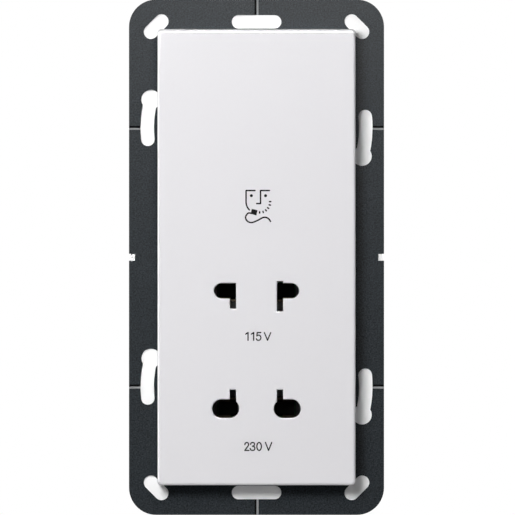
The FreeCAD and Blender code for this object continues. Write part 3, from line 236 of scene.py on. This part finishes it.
def finish(name, look):
    material = bpy.data.materials.new(name)
    material.use_nodes = True
    tree = material.node_tree
    shader = tree.nodes["Principled BSDF"]
    shader.inputs["Metallic"].default_value = look.get("metal", 0.0)
    shader.inputs["Specular IOR Level"].default_value = look.get("specular", 0.5)
    if "anisotropic" in look:
        shader.inputs["Anisotropic"].default_value = look["anisotropic"]
    if "coat" in look:
        shader.inputs["Coat Weight"].default_value = look["coat"]
        shader.inputs["Coat Roughness"].default_value = look.get("coatRough", 0.1)
    if "scatter" in look:
        shader.inputs["Subsurface Weight"].default_value = look["scatter"]
        shader.inputs["Subsurface Scale"].default_value = 0.0006
    grain = useGroup(tree, fineGrain, {
        "Scale": look["grain"], "Stretch": look.get("stretch", (1, 1, 1)),
        "Contrast": look["contrast"], "Mottle": look.get("mottle", 0.04)})
    tint = grain["Tint"]
    height = grain["Height"]
    swing = sums(tree, "SUBTRACT", height, 0.5)
    rough = sums(tree, "MULTIPLY_ADD", swing, look.get("roughSpread", 0.1), look["rough"])
    if "sheets" in look:
        stack = useGroup(tree, sheetStack, {
            "Axis": look["axis"], "Pitch": look["sheets"], "Spread": look["sheetSpread"]})
        tint = sums(tree, "MULTIPLY", tint, stack["Tint"])
        tint = sums(tree, "MULTIPLY", tint, sums(tree, "MULTIPLY_ADD", stack["Seam"], -look["seam"], 1.0))
        height = sums(tree, "MULTIPLY_ADD", stack["Height"], 3.0, height)
    colour = put(tree, "VectorMath", {0: look["colour"], "Scale": tint}, operation="SCALE").outputs[0]
    edge = useGroup(tree, roundedEdge, {"Radius": look["edge"]})
    if look.get("wear"):
        worn = useGroup(tree, edgeWear, {
            "Edge": edge["Edge"], "Amount": look["wear"], "Scale": look.get("wearScale", 700.0)})
        colour = blendColour(tree, worn["Mask"], colour, opaque(look["wornColour"]))
    # painted highlight on scored-line flanks facing up or left, painted shade on the flanks facing down or right
    if "paintedGrooveLight" in look:
        flank = useGroup(tree, paintedGrooveLight, {"Face": look["paintedLightFace"]})
        colour = blendColour(tree, flank["Mask"], colour, opaque(look["paintedGrooveLight"]))
        colour = blendColour(tree, sums(tree, "MULTIPLY", flank["Shade"], look["shade"]), colour, (0, 0, 0, 1))
    if look.get("dust"):
        dust = useGroup(tree, dustFilm, {"Amount": look["dust"]})
        colour = blendColour(tree, dust["Mask"], colour, opaque(look.get("dustColour", (0.42, 0.4, 0.37))))
        rough = sums(tree, "MULTIPLY_ADD", dust["Mask"], 0.5, rough)
    bump = put(tree, "Bump", {
        "Strength": 1.0, "Distance": look["depth"], "Height": height, "Normal": edge["Normal"]})
    feed(tree, shader, {"Base Color": colour, "Roughness": rough, "Normal": bump.outputs[0]})
    return material


def wear(node, material):
    mesh = nodes[node].data if isinstance(node, str) else node.data
    mesh.materials.clear()
    mesh.materials.append(material)


# the coated steel frame

frameCoat = {
    "colour": (0.018, 0.0225, 0.0265), "rough": 0.36, "roughSpread": 0.04, "specular": 0.035,
    "grain": 2600.0, "contrast": 3.4, "mottle": 0.15, "depth": 0.000006,
    "edge": 0.00008, "wear": 0.2, "wornColour": (0.12, 0.13, 0.14), "wearScale": 420.0,
    # the next three keys set the painted highlight colour, the front-face depth and the painted shade strength on the
    # scored lines' flanks
    "dust": 0.03, "paintedGrooveLight": (0.27, 0.278, 0.285), "paintedLightFace": -0.0008, "shade": 0.9,
}
wear("carrier_frame", finish("slateCoat", frameCoat))

# the glossy cover

coverGloss = {
    "colour": (0.822, 0.811, 0.838), "rough": 0.13, "roughSpread": 0.02, "specular": 0.5,
    "grain": 750.0, "contrast": 0.012, "mottle": 0.012, "depth": 0.0000012,
    "edge": 0.00026, "dust": 0.012, "dustColour": (0.6, 0.58, 0.54),
}
wear("cover_plate", finish("coverGloss", coverGloss))

# moulded plastics inside and behind

mouldings = {
    "base_black": {"colour": (0.008, 0.008, 0.0082), "rough": 0.75, "grain": 2200.0, "contrast": 0.5,
                   "depth": 0.00001, "edge": 0.00018, "dust": 0.01, "specular": 0.03, "wear": 0.1,
                   "wornColour": (0.03, 0.03, 0.03)},
    "housing_grey": {"rough": 0.5, "grain": 1500.0, "contrast": 0.16, "mottle": 0.08, "depth": 0.000022,
                     "edge": 0.0003, "dust": 0.16, "wear": 0.35, "wornColour": (0.3, 0.31, 0.32)},
    "interlock_black": {"colour": (0.008, 0.008, 0.008), "rough": 0.55, "grain": 1200.0, "contrast": 0.25,
                        "depth": 0.000004, "edge": 0.0002, "specular": 0.04, "dust": 0.01},
    "retainer_grey": {"rough": 0.55, "grain": 2000.0, "contrast": 0.12, "depth": 0.00001,
                      "edge": 0.0002, "dust": 0.08, "wear": 0.2, "wornColour": (0.42, 0.43, 0.44)},
    "switch_black": {"rough": 0.36, "grain": 2600.0, "contrast": 0.3, "depth": 0.000005,
                     "edge": 0.00015, "dust": 0.08},
    "terminal_grey": {"rough": 0.42, "grain": 1400.0, "contrast": 0.08, "depth": 0.000008,
                      "edge": 0.0002, "scatter": 0.05, "dust": 0.06},
    "bobbin_nylon": {"rough": 0.5, "grain": 900.0, "stretch": (0.35, 1, 1), "contrast": 0.14, "depth": 0.000008,
                     "edge": 0.0002, "scatter": 0.08, "dust": 0.06},
}

# plated, rolled and turned metals

metals = {
    "screw_steel": {"metal": 1.0, "rough": 0.28, "roughSpread": 0.16, "grain": 3200.0, "contrast": 0.12,
                    "mottle": 0.08, "depth": 0.000004, "edge": 0.00012, "wear": 0.4,
                    "wornColour": (0.72, 0.72, 0.71), "dust": 0.04},
    "spring_steel": {"metal": 1.0, "rough": 0.24, "roughSpread": 0.12, "grain": 2400.0, "stretch": (1, 1, 0.05),
                     "contrast": 0.1, "depth": 0.000003, "edge": 0.0001, "anisotropic": 0.4},
    # painted shade: the contacts' colour and worn colour are darkened far below bronze, so the pin openings look
    # black
    "contact_bronze": {"colour": (0.06, 0.045, 0.03), "metal": 0.85, "rough": 0.5, "roughSpread": 0.14,
                       "grain": 2600.0, "stretch": (1, 0.05, 1), "contrast": 0.12, "mottle": 0.1,
                       "depth": 0.000003, "edge": 0.0001, "anisotropic": 0.4, "wear": 0.2,
                       "wornColour": (0.12, 0.085, 0.05)},
    "clamp_steel": {"metal": 1.0, "rough": 0.3, "roughSpread": 0.12, "grain": 3000.0, "contrast": 0.08,
                    "mottle": 0.06, "depth": 0.000003, "edge": 0.00012},
    "core_steel": {"metal": 0.75, "rough": 0.4, "roughSpread": 0.2, "grain": 1700.0, "contrast": 0.2,
                   "mottle": 0.18, "depth": 0.00003, "edge": 0.00015, "axis": (0, 1, 0), "sheets": 0.0005,
                   "sheetSpread": 0.3, "seam": 0.6, "coat": 0.25, "coatRough": 0.25},
}

# board, protection devices and wire insulation

details = {
    "board_laminate": {"rough": 0.33, "grain": 1600.0, "contrast": 0.12, "mottle": 0.1, "depth": 0.000008,
                       "edge": 0.0001, "dust": 0.06, "wear": 0.4, "wornColour": (0.45, 0.44, 0.3)},
    "cutout_orange": {"rough": 0.25, "grain": 500.0, "contrast": 0.1, "mottle": 0.15, "depth": 0.00003,
                      "edge": 0.0004, "coat": 0.4},
    "fuse_brown": {"rough": 0.3, "grain": 1400.0, "contrast": 0.12, "depth": 0.000008, "edge": 0.0002,
                   "dust": 0.06},
    "lead_brown": {}, "lead_blue": {}, "lead_black": {}, "lead_yellow": {}, "lead_red": {},
}
insulation = {"rough": 0.32, "grain": 1300.0, "stretch": (1, 1, 0.15), "contrast": 0.08, "mottle": 0.06,
              "depth": 0.000006, "edge": 0.0001, "specular": 0.45, "dust": 0.04}

finishes = {}
for looks in (mouldings, metals, details):
    for slot, look in looks.items():
        full = dict(insulation) if slot.startswith("lead_") else {}
        full["colour"] = slotColour[slot]
        full.update(look)
        finishes[slot] = finish(slot, full)
for node, slot in slotOf.items():
    if slot in finishes:
        wear(node, finishes[slot])
print("finishes on", len(slotOf), "nodes")


# raised print on the cover: round-ended strokes, discs and blocks (x, z in mm)

printLook = {"signLift": -0.12, "letterLift": 0.15, "face": -9.5, "thick": 0.012, "sunk": 0.004, "step": 0.0004,
             "line": 0.42, "letter": 0.36, "ink": (0.009, 0.009, 0.010)}
roundSteps = 8


def arcPath(x, z, wide, tall, start, end, steps=20):
    path = []
    for i in range(steps + 1):
        turn = math.radians(start + (end - start) * i / steps)
        path.append((x + wide * math.cos(turn), z + tall * math.sin(turn)))
    return path


def smoothPath(points, steps=8):
    path = []
    count = len(points)
    for i in range(count - 1):
        a, b, c, d = (Vector(points[max(0, min(count - 1, i + k))]) for k in (-1, 0, 1, 2))
        for s in range(steps):
            t = s / steps
            path.append(tuple(0.5 * (2 * b + (c - a) * t + (2 * a - 5 * b + 4 * c - d) * t ** 2
                                     + (3 * b - a - 3 * c + d) * t ** 3)))
    path.append(tuple(points[-1]))
    return path


def roundEnd(tip, along, half):
    across = Vector((-along.y, along.x))
    turns = [math.pi * k / roundSteps for k in range(1, roundSteps)]
    return [tip + half * (math.cos(a) * across + math.sin(a) * along) for a in turns]


def addStroke(bm, path, width, front, back):
    half = width / 2
    closed = (Vector(path[0]) - Vector(path[-1])).length < 1e-6
    points = [Vector(p) for p in (path[:-1] if closed else path)]
    count = len(points)
    sides = []
    for i, point in enumerate(points):
        before = points[i - 1] if closed or i else point
        after = points[(i + 1) % count] if closed or i < count - 1 else point
        along = (after - before).normalized()
        out = Vector((-along.y, along.x)) * half
        sides.append((point + out, point - out, along))
    outline = [s[0] for s in sides]
    if not closed:
        outline += roundEnd(points[-1], sides[-1][2], half)
        outline += [s[1] for s in reversed(sides)]
        outline += roundEnd(points[0], sides[0][2], -half)

    def ring(y, line):
        return [bm.verts.new((p.x * mm, y * mm, p.y * mm)) for p in line]

    if closed:
        inner = [s[1] for s in sides]
        rims = [ring(front, outline), ring(front, inner), ring(back, inner), ring(back, outline)]
        for a, b in zip(rims, rims[1:] + rims[:1]):
            for i in range(count):
                bm.faces.new((a[i], a[(i + 1) % count], b[(i + 1) % count], b[i]))
    else:
        top, low = ring(front, outline), ring(back, outline)
        total = len(outline)
        for i in range(total):
            bm.faces.new((top[i], top[(i + 1) % total], low[(i + 1) % total], low[i]))
        for i in range(count - 1):
            j = total - roundSteps - i
            bm.faces.new((top[i], top[i + 1], top[j - 1], top[j]))
        bm.faces.new(top[count - 1:count + roundSteps])
        bm.faces.new(top[-roundSteps:] + top[:1])


def addPlate(bm, outline, front, back):
    top, low = [[bm.verts.new((x * mm, y * mm, z * mm)) for x, z in outline] for y in (front, back)]
    bm.faces.new(top)
    for i in range(len(top)):
        j = (i + 1) % len(top)
        bm.faces.new((top[i], top[j], low[j], low[i]))


def meshPiece(name, bm, material, body="main", smooth=False):
    bmesh.ops.recalc_face_normals(bm, faces=bm.faces)
    mesh = bpy.data.meshes.new(name)
    bm.to_mesh(mesh)
    bm.free()
    for face in mesh.polygons:
        face.use_smooth = smooth
    piece = bpy.data.objects.new(name, mesh)
    scene.collection.objects.link(piece)
    mesh.materials.append(material)
    if body:
        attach(piece, body)
    return piece


def drawPrint(name, strokes, discs, blocks, width, material, lift):
    bm = bmesh.new()
    raised = [[[(x, z + lift) for x, z in path] for path in group] for group in (strokes, discs, blocks)]
    front, back = printLook["face"] - printLook["thick"], printLook["face"] + printLook["sunk"]
    level = 0
    # each stroke stands a little higher than the last, so that crossing faces never coincide
    for path in raised[0]:
        level += 1
        addStroke(bm, path, width, front - level * printLook["step"], back)
    for outline in raised[1]:
        addPlate(bm, outline, front, back)
    for outline in raised[2]:
        level += 1
        addPlate(bm, outline, front - level * printLook["step"], back)
    return meshPiece(name, bm, material)


ink = finish("darkInk", {"colour": printLook["ink"], "rough": 0.8, "grain": 3000.0, "contrast": 0.3,
                         "depth": 0.000001, "edge": 0.00001, "specular": 0.02})

# the shaver sign: brows, cheek, nose, eyes, shaver, its cord and ticks
ticks = []
for k, (x, z) in enumerate([(0.861, 12.394), (1.810, 12.531), (2.580, 12.971), (3.185, 13.577),
                            (3.625, 14.429), (3.735, 15.337)]):
    lean = math.radians(18 * k)
    dx, dz = math.sin(lean) * 0.17, -math.cos(lean) * 0.17
    ticks.append([(x - dx, z - dz), (x + dx, z + dz)])
faceSign = [
    [(-2.85, 18.388), (-0.42, 18.388)],
    smoothPath([(-2.866, 18.25), (-2.866, 16.4), (-2.84, 14.9), (-2.55, 13.9), (-1.98, 13.10)]),
    [(1.16, 18.388), (3.52, 18.388)],
    [(1.095, 18.388), (1.095, 14.814)],
    [(1.095, 14.814), (0.03, 14.814)],
    smoothPath([(-1.42, 12.12), (-2.0, 12.25), (-2.5, 12.02), (-2.98, 11.2), (-2.8, 10.35), (-2.1, 9.76),
                (-1.2, 9.63), (0.28, 10.2), (1.63, 10.93), (2.31, 11.05), (3.0, 10.87), (3.51, 10.44), (3.83, 9.93)]),
]
eyes = [arcPath(x, 16.986, 0.42, 0.42, 0, 345, 23) for x in (-1.408, 2.470)]
shaver = [(-1.27, 13.36), (0.29, 13.02), (-0.05, 11.56), (-1.60, 12.05)]
drawPrint("print_shaver_sign", faceSign + ticks, eyes, [shaver], printLook["line"], ink, printLook["signLift"])

top115, low115 = -20.80, -22.92
figures115 = [
    [(-2.96, -21.23), (-2.36, top115)], [(-2.33, top115), (-2.33, low115)],
    [(-1.41, -21.23), (-0.81, top115)], [(-0.78, top115), (-0.78, low115)],
    [(0.20, top115), (1.17, top115)], [(0.20, top115), (0.08, -21.72)],
    smoothPath([(0.08, -21.72), (0.34, -21.56), (0.66, -21.51), (1.05, -21.72), (1.20, -22.20),
                (1.03, -22.70), (0.56, -22.93), (0.14, -22.80), (-0.04, -22.48)]),
    [(2.15, top115), (3.02, low115)], [(3.89, top115), (3.02, low115)],
]
drawPrint("print_115_volt", figures115, [], [], printLook["letter"], ink, printLook["letterLift"])

top230, low230 = -50.92, -53.09
figures230 = [
    smoothPath([(-3.20, -51.52), (-3.06, -51.10), (-2.68, top230), (-2.28, -51.12), (-2.20, -51.56),
                (-2.42, -52.02), (-2.80, -52.52), (-3.22, low230)]),
    [(-3.22, low230), (-2.08, low230)],
    smoothPath([(-1.64, -51.42), (-1.46, -51.06), (-1.08, top230), (-0.68, -51.06), (-0.57, -51.42),
                (-0.72, -51.80), (-1.14, -51.94)]),
    smoothPath([(-1.14, -51.94), (-0.66, -52.06), (-0.46, -52.48), (-0.62, -52.94), (-1.10, low230),
                (-1.56, -52.94), (-1.74, -52.56)]),
    arcPath(0.71, -52.005, 0.62, 1.085, 0, 360, 36),
    [(2.45, top230), (3.30, low230)], [(4.15, top230), (3.30, low230)],
]
drawPrint("print_230_volt", figures230, [], [], printLook["letter"], ink, printLook["letterLift"])
print("print drawn")


# enamelled wire wound on the bobbin, turn by turn

coilLook = {"centreY": 21.0, "centreZ": 28.0, "halfY": 15.8, "halfZ": 15.4, "boreY": 9.4, "boreZ": 9.0,
            "corner": 3.0, "boreCorner": 0.6, "inner": 0.6, "outer": 10.9, "clear": 0.02, "wireSides": 6}
enamel = finish("enamelledWire", {
    "colour": (0.52, 0.2, 0.07), "metal": 0.85, "rough": 0.26, "roughSpread": 0.14, "grain": 1400.0,
    "contrast": 0.25, "mottle": 0.25, "depth": 0.000004, "edge": 0.00005, "coat": 0.5, "coatRough": 0.12})


def roundedLoop(halfA, halfB, corner, steps=6):
    loop = []
    for k, (sa, sb) in enumerate([(1, 1), (-1, 1), (-1, -1), (1, -1)]):
        for s in range(steps + 1):
            turn = math.radians(90 * k + 90 * s / steps)
            loop.append((sa * (halfA - corner) + corner * math.cos(turn),
                         sb * (halfB - corner) + corner * math.sin(turn)))
    return loop


def fullTurn(count):
    return [math.tau * k / count for k in range(count)]


def joinRings(bm, rings):
    count = len(rings[0])
    for a, b in zip(rings, rings[1:]):
        for k in range(count):
            j = (k + 1) % count
            bm.faces.new((a[k], a[j], b[j], b[k]))


def windCoil(name, node, side, wire):
    look = coilLook
    radius = wire / 2
    loop = roundedLoop(look["halfY"] - radius, look["halfZ"] - radius, look["corner"] - radius)
    turns = int((look["outer"] - look["inner"]) / wire)
    pitch = (look["outer"] - look["inner"] - wire) / (turns - 1)
    count = len(loop)
    line = []
    for i in range((turns - 1) * count + 1):
        y, z = loop[i % count]
        x = side * (look["inner"] + radius + pitch * i / count)
        line.append(Vector((x, look["centreY"] + y, look["centreZ"] + z)))
    bm = bmesh.new()
    rings = []
    for i, point in enumerate(line):
        along = (line[min(i + 1, len(line) - 1)] - line[max(i - 1, 0)]).normalized()
        across = Vector((1, 0, 0))
        outward = along.cross(across).normalized()
        across = outward.cross(along)
        rings.append([bm.verts.new((point + radius * (math.cos(a) * across + math.sin(a) * outward)) * mm)
                      for a in fullTurn(look["wireSides"])])
    joinRings(bm, rings)
    bm.faces.new(rings[0])
    bm.faces.new(rings[-1])
    # the layers under the last one, as one closed body
    inset = wire * 0.75
    shell = roundedLoop(look["halfY"] - inset, look["halfZ"] - inset, look["corner"] - inset)
    bore = roundedLoop(look["boreY"], look["boreZ"], look["boreCorner"])
    ends = []
    for x in (look["inner"] + look["clear"], look["outer"] - look["clear"]):
        ends.append([[bm.verts.new((side * x * mm, (look["centreY"] + y) * mm, (look["centreZ"] + z) * mm))
                      for y, z in edge] for edge in (shell, bore)])
    joinRings(bm, [ends[0][0], ends[1][0], ends[1][1], ends[0][1], ends[0][0]])
    piece = meshPiece(name, bm, enamel, smooth=True)
    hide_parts(node)
    return piece


leftNode = "primary_winding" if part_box("primary_winding")[0].x < 0 else "secondary_winding"
rightNode = "secondary_winding" if leftNode == "primary_winding" else "primary_winding"
wireSize = {"primary_winding": 0.34, "secondary_winding": 0.46}
windCoil("wire_" + leftNode, leftNode, -1, wireSize[leftNode])
windCoil("wire_" + rightNode, rightNode, 1, wireSize[rightNode])
print("coils wound")


# solder joints and masked copper tracks on the board

boardLook = {"rear": 30.75, "front": 29.15, "track": 0.03, "trackStep": 0.001, "trackWidth": 1.3, "sunk": 0.01,
             "filletSides": 16}
solder = finish("solder", {
    "colour": (0.62, 0.62, 0.63), "metal": 1.0, "rough": 0.22, "roughSpread": 0.15, "grain": 1500.0,
    "contrast": 0.1, "mottle": 0.12, "depth": 0.000008, "edge": 0.00005})
maskedCopper = finish("maskedCopper", {
    "colour": (0.1, 0.3, 0.12), "rough": 0.3, "grain": 1600.0, "contrast": 0.12, "depth": 0.000006,
    "edge": 0.00003})


def addFillet(bm, x, z, level, way, radius, tall):
    profile = [(radius, 0.0), (radius * 0.93, 0.05), (radius * 0.62, tall * 0.32), (radius * 0.42, tall * 0.68),
               (radius * 0.34, tall * 0.94), (radius * 0.16, tall)]
    rings = [[bm.verts.new(((x + r * math.cos(a)) * mm, (level + way * h) * mm, (z + r * math.sin(a)) * mm))
              for a in fullTurn(boardLook["filletSides"])] for r, h in profile]
    joinRings(bm, rings)
    bm.faces.new(rings[-1])
    bm.faces.new(rings[0])


switchPads = [(x, -25.35 + dz) for x in (-2.5, 2.5) for dz in (-4.0, 0.0, 4.0)]
tailPads = [(x, z) for x in (-13.45, 13.45) for z in (-9.2, -41.5)]
bm = bmesh.new()
for x, z in switchPads:
    addFillet(bm, x, z, boardLook["rear"], 1, 0.95, 1.05)
for x, z in tailPads:
    addFillet(bm, x, z, boardLook["rear"], 1, 1.35, 0.45)
for x in (-9.0, -5.0, 2.6, 6.0, 9.4):
    addFillet(bm, x, -4.0, boardLook["front"], -1, 0.9, 0.6)
meshPiece("solder_joints", bm, solder, smooth=True)

tracks = [
    [(-13.45, -9.2), (-16.5, -12.5), (-16.5, -38.0), (-13.45, -41.5)],
    [(13.45, -9.2), (16.2, -12.0), (16.2, -20.0), (10.0, -29.35), (2.5, -29.35)],
    [(13.45, -41.5), (9.0, -37.0), (2.5, -25.35)],
    [(-2.5, -25.35), (-6.0, -22.0), (-5.0, -4.0)],
    [(-2.5, -21.35), (2.6, -10.0), (2.6, -4.0)],
    [(2.5, -21.35), (6.0, -14.0), (6.0, -4.0)],
    [(9.4, -4.0), (9.4, -10.8)],
    [(-9.0, -4.0), (-9.0, -9.5)],
    [(-11.0, -21.0), (-11.0, -34.0), (-5.4, -43.5)],
    [(10.5, -19.2), (10.5, -33.0), (5.4, -43.5)],
]
bm = bmesh.new()
for index, path in enumerate(tracks):
    level = boardLook["rear"] + boardLook["track"] + index * boardLook["trackStep"]
    addStroke(bm, path, boardLook["trackWidth"], level, boardLook["rear"] - boardLook["sunk"])
meshPiece("board_tracks", bm, maskedCopper)
print("board finished")


# the centring leaf in two halves, each arm cut crosswise into bands along its length

leafLook = {"pivot": -25.35, "flat": 12.0, "tip": 16.6, "cuts": 8, "gap": 0.02}


def cutPlane(bm, z, up, drop=False):
    everything = bm.verts[:] + bm.edges[:] + bm.faces[:]
    return bmesh.ops.bisect_plane(bm, geom=everything, dist=1e-7, plane_co=(0, 0, z * mm),
                                  plane_no=(0, 0, up), clear_inner=drop)["geom_cut"]


def addLeaf(name, up):
    look = leafLook
    bm = bmesh.new()
    bm.from_mesh(nodes["centring_spring"].data)
    bmesh.ops.remove_doubles(bm, verts=bm.verts, dist=1e-7)
    cut = cutPlane(bm, look["pivot"] + up * look["gap"], up, drop=True)
    bmesh.ops.holes_fill(bm, edges=[e for e in cut if isinstance(e, bmesh.types.BMEdge)])
    arm = look["tip"] - look["flat"]
    for i in range(look["cuts"] + 1):
        cutPlane(bm, look["pivot"] + up * (look["flat"] + arm * i / look["cuts"]), up)
    piece = meshPiece(name, bm, finishes["spring_steel"], body=None)
    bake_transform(piece)
    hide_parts("centring_spring")


addLeaf("leaf_upper", 1)
addLeaf("leaf_lower", -1)
print("centring leaf ready")


# stage: a pale card inside the frame's thickness that shows in its openings, a pale floor, a white surround

stageLook = {"card": -0.8, "cardHalf": (34.5, 70.3), "cardCorner": 7.6, "cardWindow": (25.0, 57.1),
             "cardColour": (0.97, 0.97, 0.97), "cardLift": 0.05, "floor": -0.2, "floorRadius": 2.4,
             "floorColour": (0.25, 0.25, 0.25), "floorLift": 0.93, "mottle": 0.985, "mottleScale": 30.0}


def seenDirectly(tree):
    path = put(tree, "LightPath").outputs
    either = sums(tree, "MAXIMUM", path["Is Camera Ray"], path["Is Glossy Ray"])
    return sums(tree, "MAXIMUM", either, path["Is Transmission Ray"])


def paleMaterial(name, colour, lift):
    # diffuse and a little self-lit to the camera, and clear from behind
    material = bpy.data.materials.new(name)
    material.use_nodes = True
    tree = material.node_tree
    shader = tree.nodes["Principled BSDF"]
    place = put(tree, "TexCoord").outputs["Object"]
    mottle = put(tree, "TexNoise", {"Vector": place, "Scale": stageLook["mottleScale"], "Detail": 2.0}).outputs[0]
    darker = [c * stageLook["mottle"] for c in colour]
    feed(tree, shader, {"Base Color": blendColour(tree, mottle, opaque(colour), opaque(darker)),
                        "Roughness": 0.9, "Specular IOR Level": 0.0})
    shine = sums(tree, "MULTIPLY", seenDirectly(tree), lift)
    glow = put(tree, "Emission", {"Color": (1, 1, 1, 1), "Strength": shine})
    both = put(tree, "AddShader", {0: shader.outputs[0], 1: glow.outputs[0]}).outputs[0]
    clear = put(tree, "BsdfTransparent").outputs[0]
    behind = put(tree, "NewGeometry").outputs["Backfacing"]
    shown = put(tree, "MixShader", {0: behind, 1: both, 2: clear}).outputs[0]
    tree.links.new(shown, tree.nodes["Material Output"].inputs["Surface"])
    return material


def stageSheet(name, bm, material):
    mesh = bpy.data.meshes.new(name)
    bm.to_mesh(mesh)
    bm.free()
    sheet = bpy.data.objects.new(name, mesh)
    scene.collection.objects.link(sheet)
    mesh.materials.append(material)
    return sheet


def makeCard(look):
    bm = bmesh.new()
    outer = roundedLoop(*look["cardHalf"], look["cardCorner"], steps=8)
    inner = roundedLoop(*look["cardWindow"], 0, steps=8)
    joinRings(bm, [[bm.verts.new((x * mm, look["card"] * mm, z * mm)) for x, z in line] for line in (outer, inner)])
    bmesh.ops.remove_doubles(bm, verts=bm.verts, dist=1e-7)
    for face in bm.faces:
        face.normal_update()
        if face.normal.y > 0:
            face.normal_flip()
    return stageSheet("card", bm, paleMaterial("paleCard", look["cardColour"], look["cardLift"]))


def makeFloor(look):
    bm = bmesh.new()
    bmesh.ops.create_circle(bm, cap_ends=True, segments=96, radius=look["floorRadius"])
    bmesh.ops.translate(bm, verts=bm.verts, vec=(0, 0, look["floor"]))
    return stageSheet("floor", bm, paleMaterial("paleFloor", look["floorColour"], look["floorLift"]))


makeCard(stageLook)
makeFloor(stageLook)


def makeSurround(strength):
    world = bpy.data.worlds.new("surround")
    scene.world = world
    world.use_nodes = True
    tree = world.node_tree
    tree.nodes.clear()
    soft = put(tree, "Background", {"Color": (1, 1, 1, 1), "Strength": strength})
    white = put(tree, "Background", {"Color": (1, 1, 1, 1), "Strength": 1.0})
    mix = put(tree, "MixShader", {0: seenDirectly(tree), 1: soft.outputs[0], 2: white.outputs[0]})
    put(tree, "OutputWorld", {"Surface": mix.outputs[0]})


ambient = 0.0
lighting = {
    "key": {"place": (-0.145, -0.533, 0.157), "size": 0.175, "power": 2.97},
    "sheenTop": {"place": (0.0, -0.55, 0.20), "size": 0.14, "power": 2.2, "glossOnly": True},
    "sheenRight": {"place": (0.03, -0.30, 0.175), "size": 0.10, "power": 5.0, "glossOnly": True},
    "rimLeft": {"place": (-0.74, -0.10, 0.05), "size": 0.40, "power": 7.0, "glossOnly": True},
    "rimTop": {"place": (-0.05, -0.10, 0.74), "size": 0.40, "power": 0.7, "glossOnly": True},
    "backLeft": {"place": (-0.42, 0.45, 0.30), "size": 0.30, "power": 2.6},
    "backRight": {"place": (0.45, 0.42, 0.24), "size": 0.30, "power": 1.8},
}


def softbox(name, look):
    lamp = bpy.data.lights.new(name, "AREA")
    lamp.shape = "SQUARE"
    lamp.size = look["size"]
    lamp.energy = look["power"]
    box = bpy.data.objects.new(name, lamp)
    box.location = look["place"]
    box.rotation_euler = (-Vector(look["place"])).to_track_quat("-Z", "Y").to_euler()
    box.visible_camera = False
    box.visible_diffuse = not look.get("glossOnly")
    scene.collection.objects.link(box)


makeSurround(ambient)
for name, look in lighting.items():
    softbox(name, look)
scene.view_settings.view_transform = "Standard"
print("stage and light set")
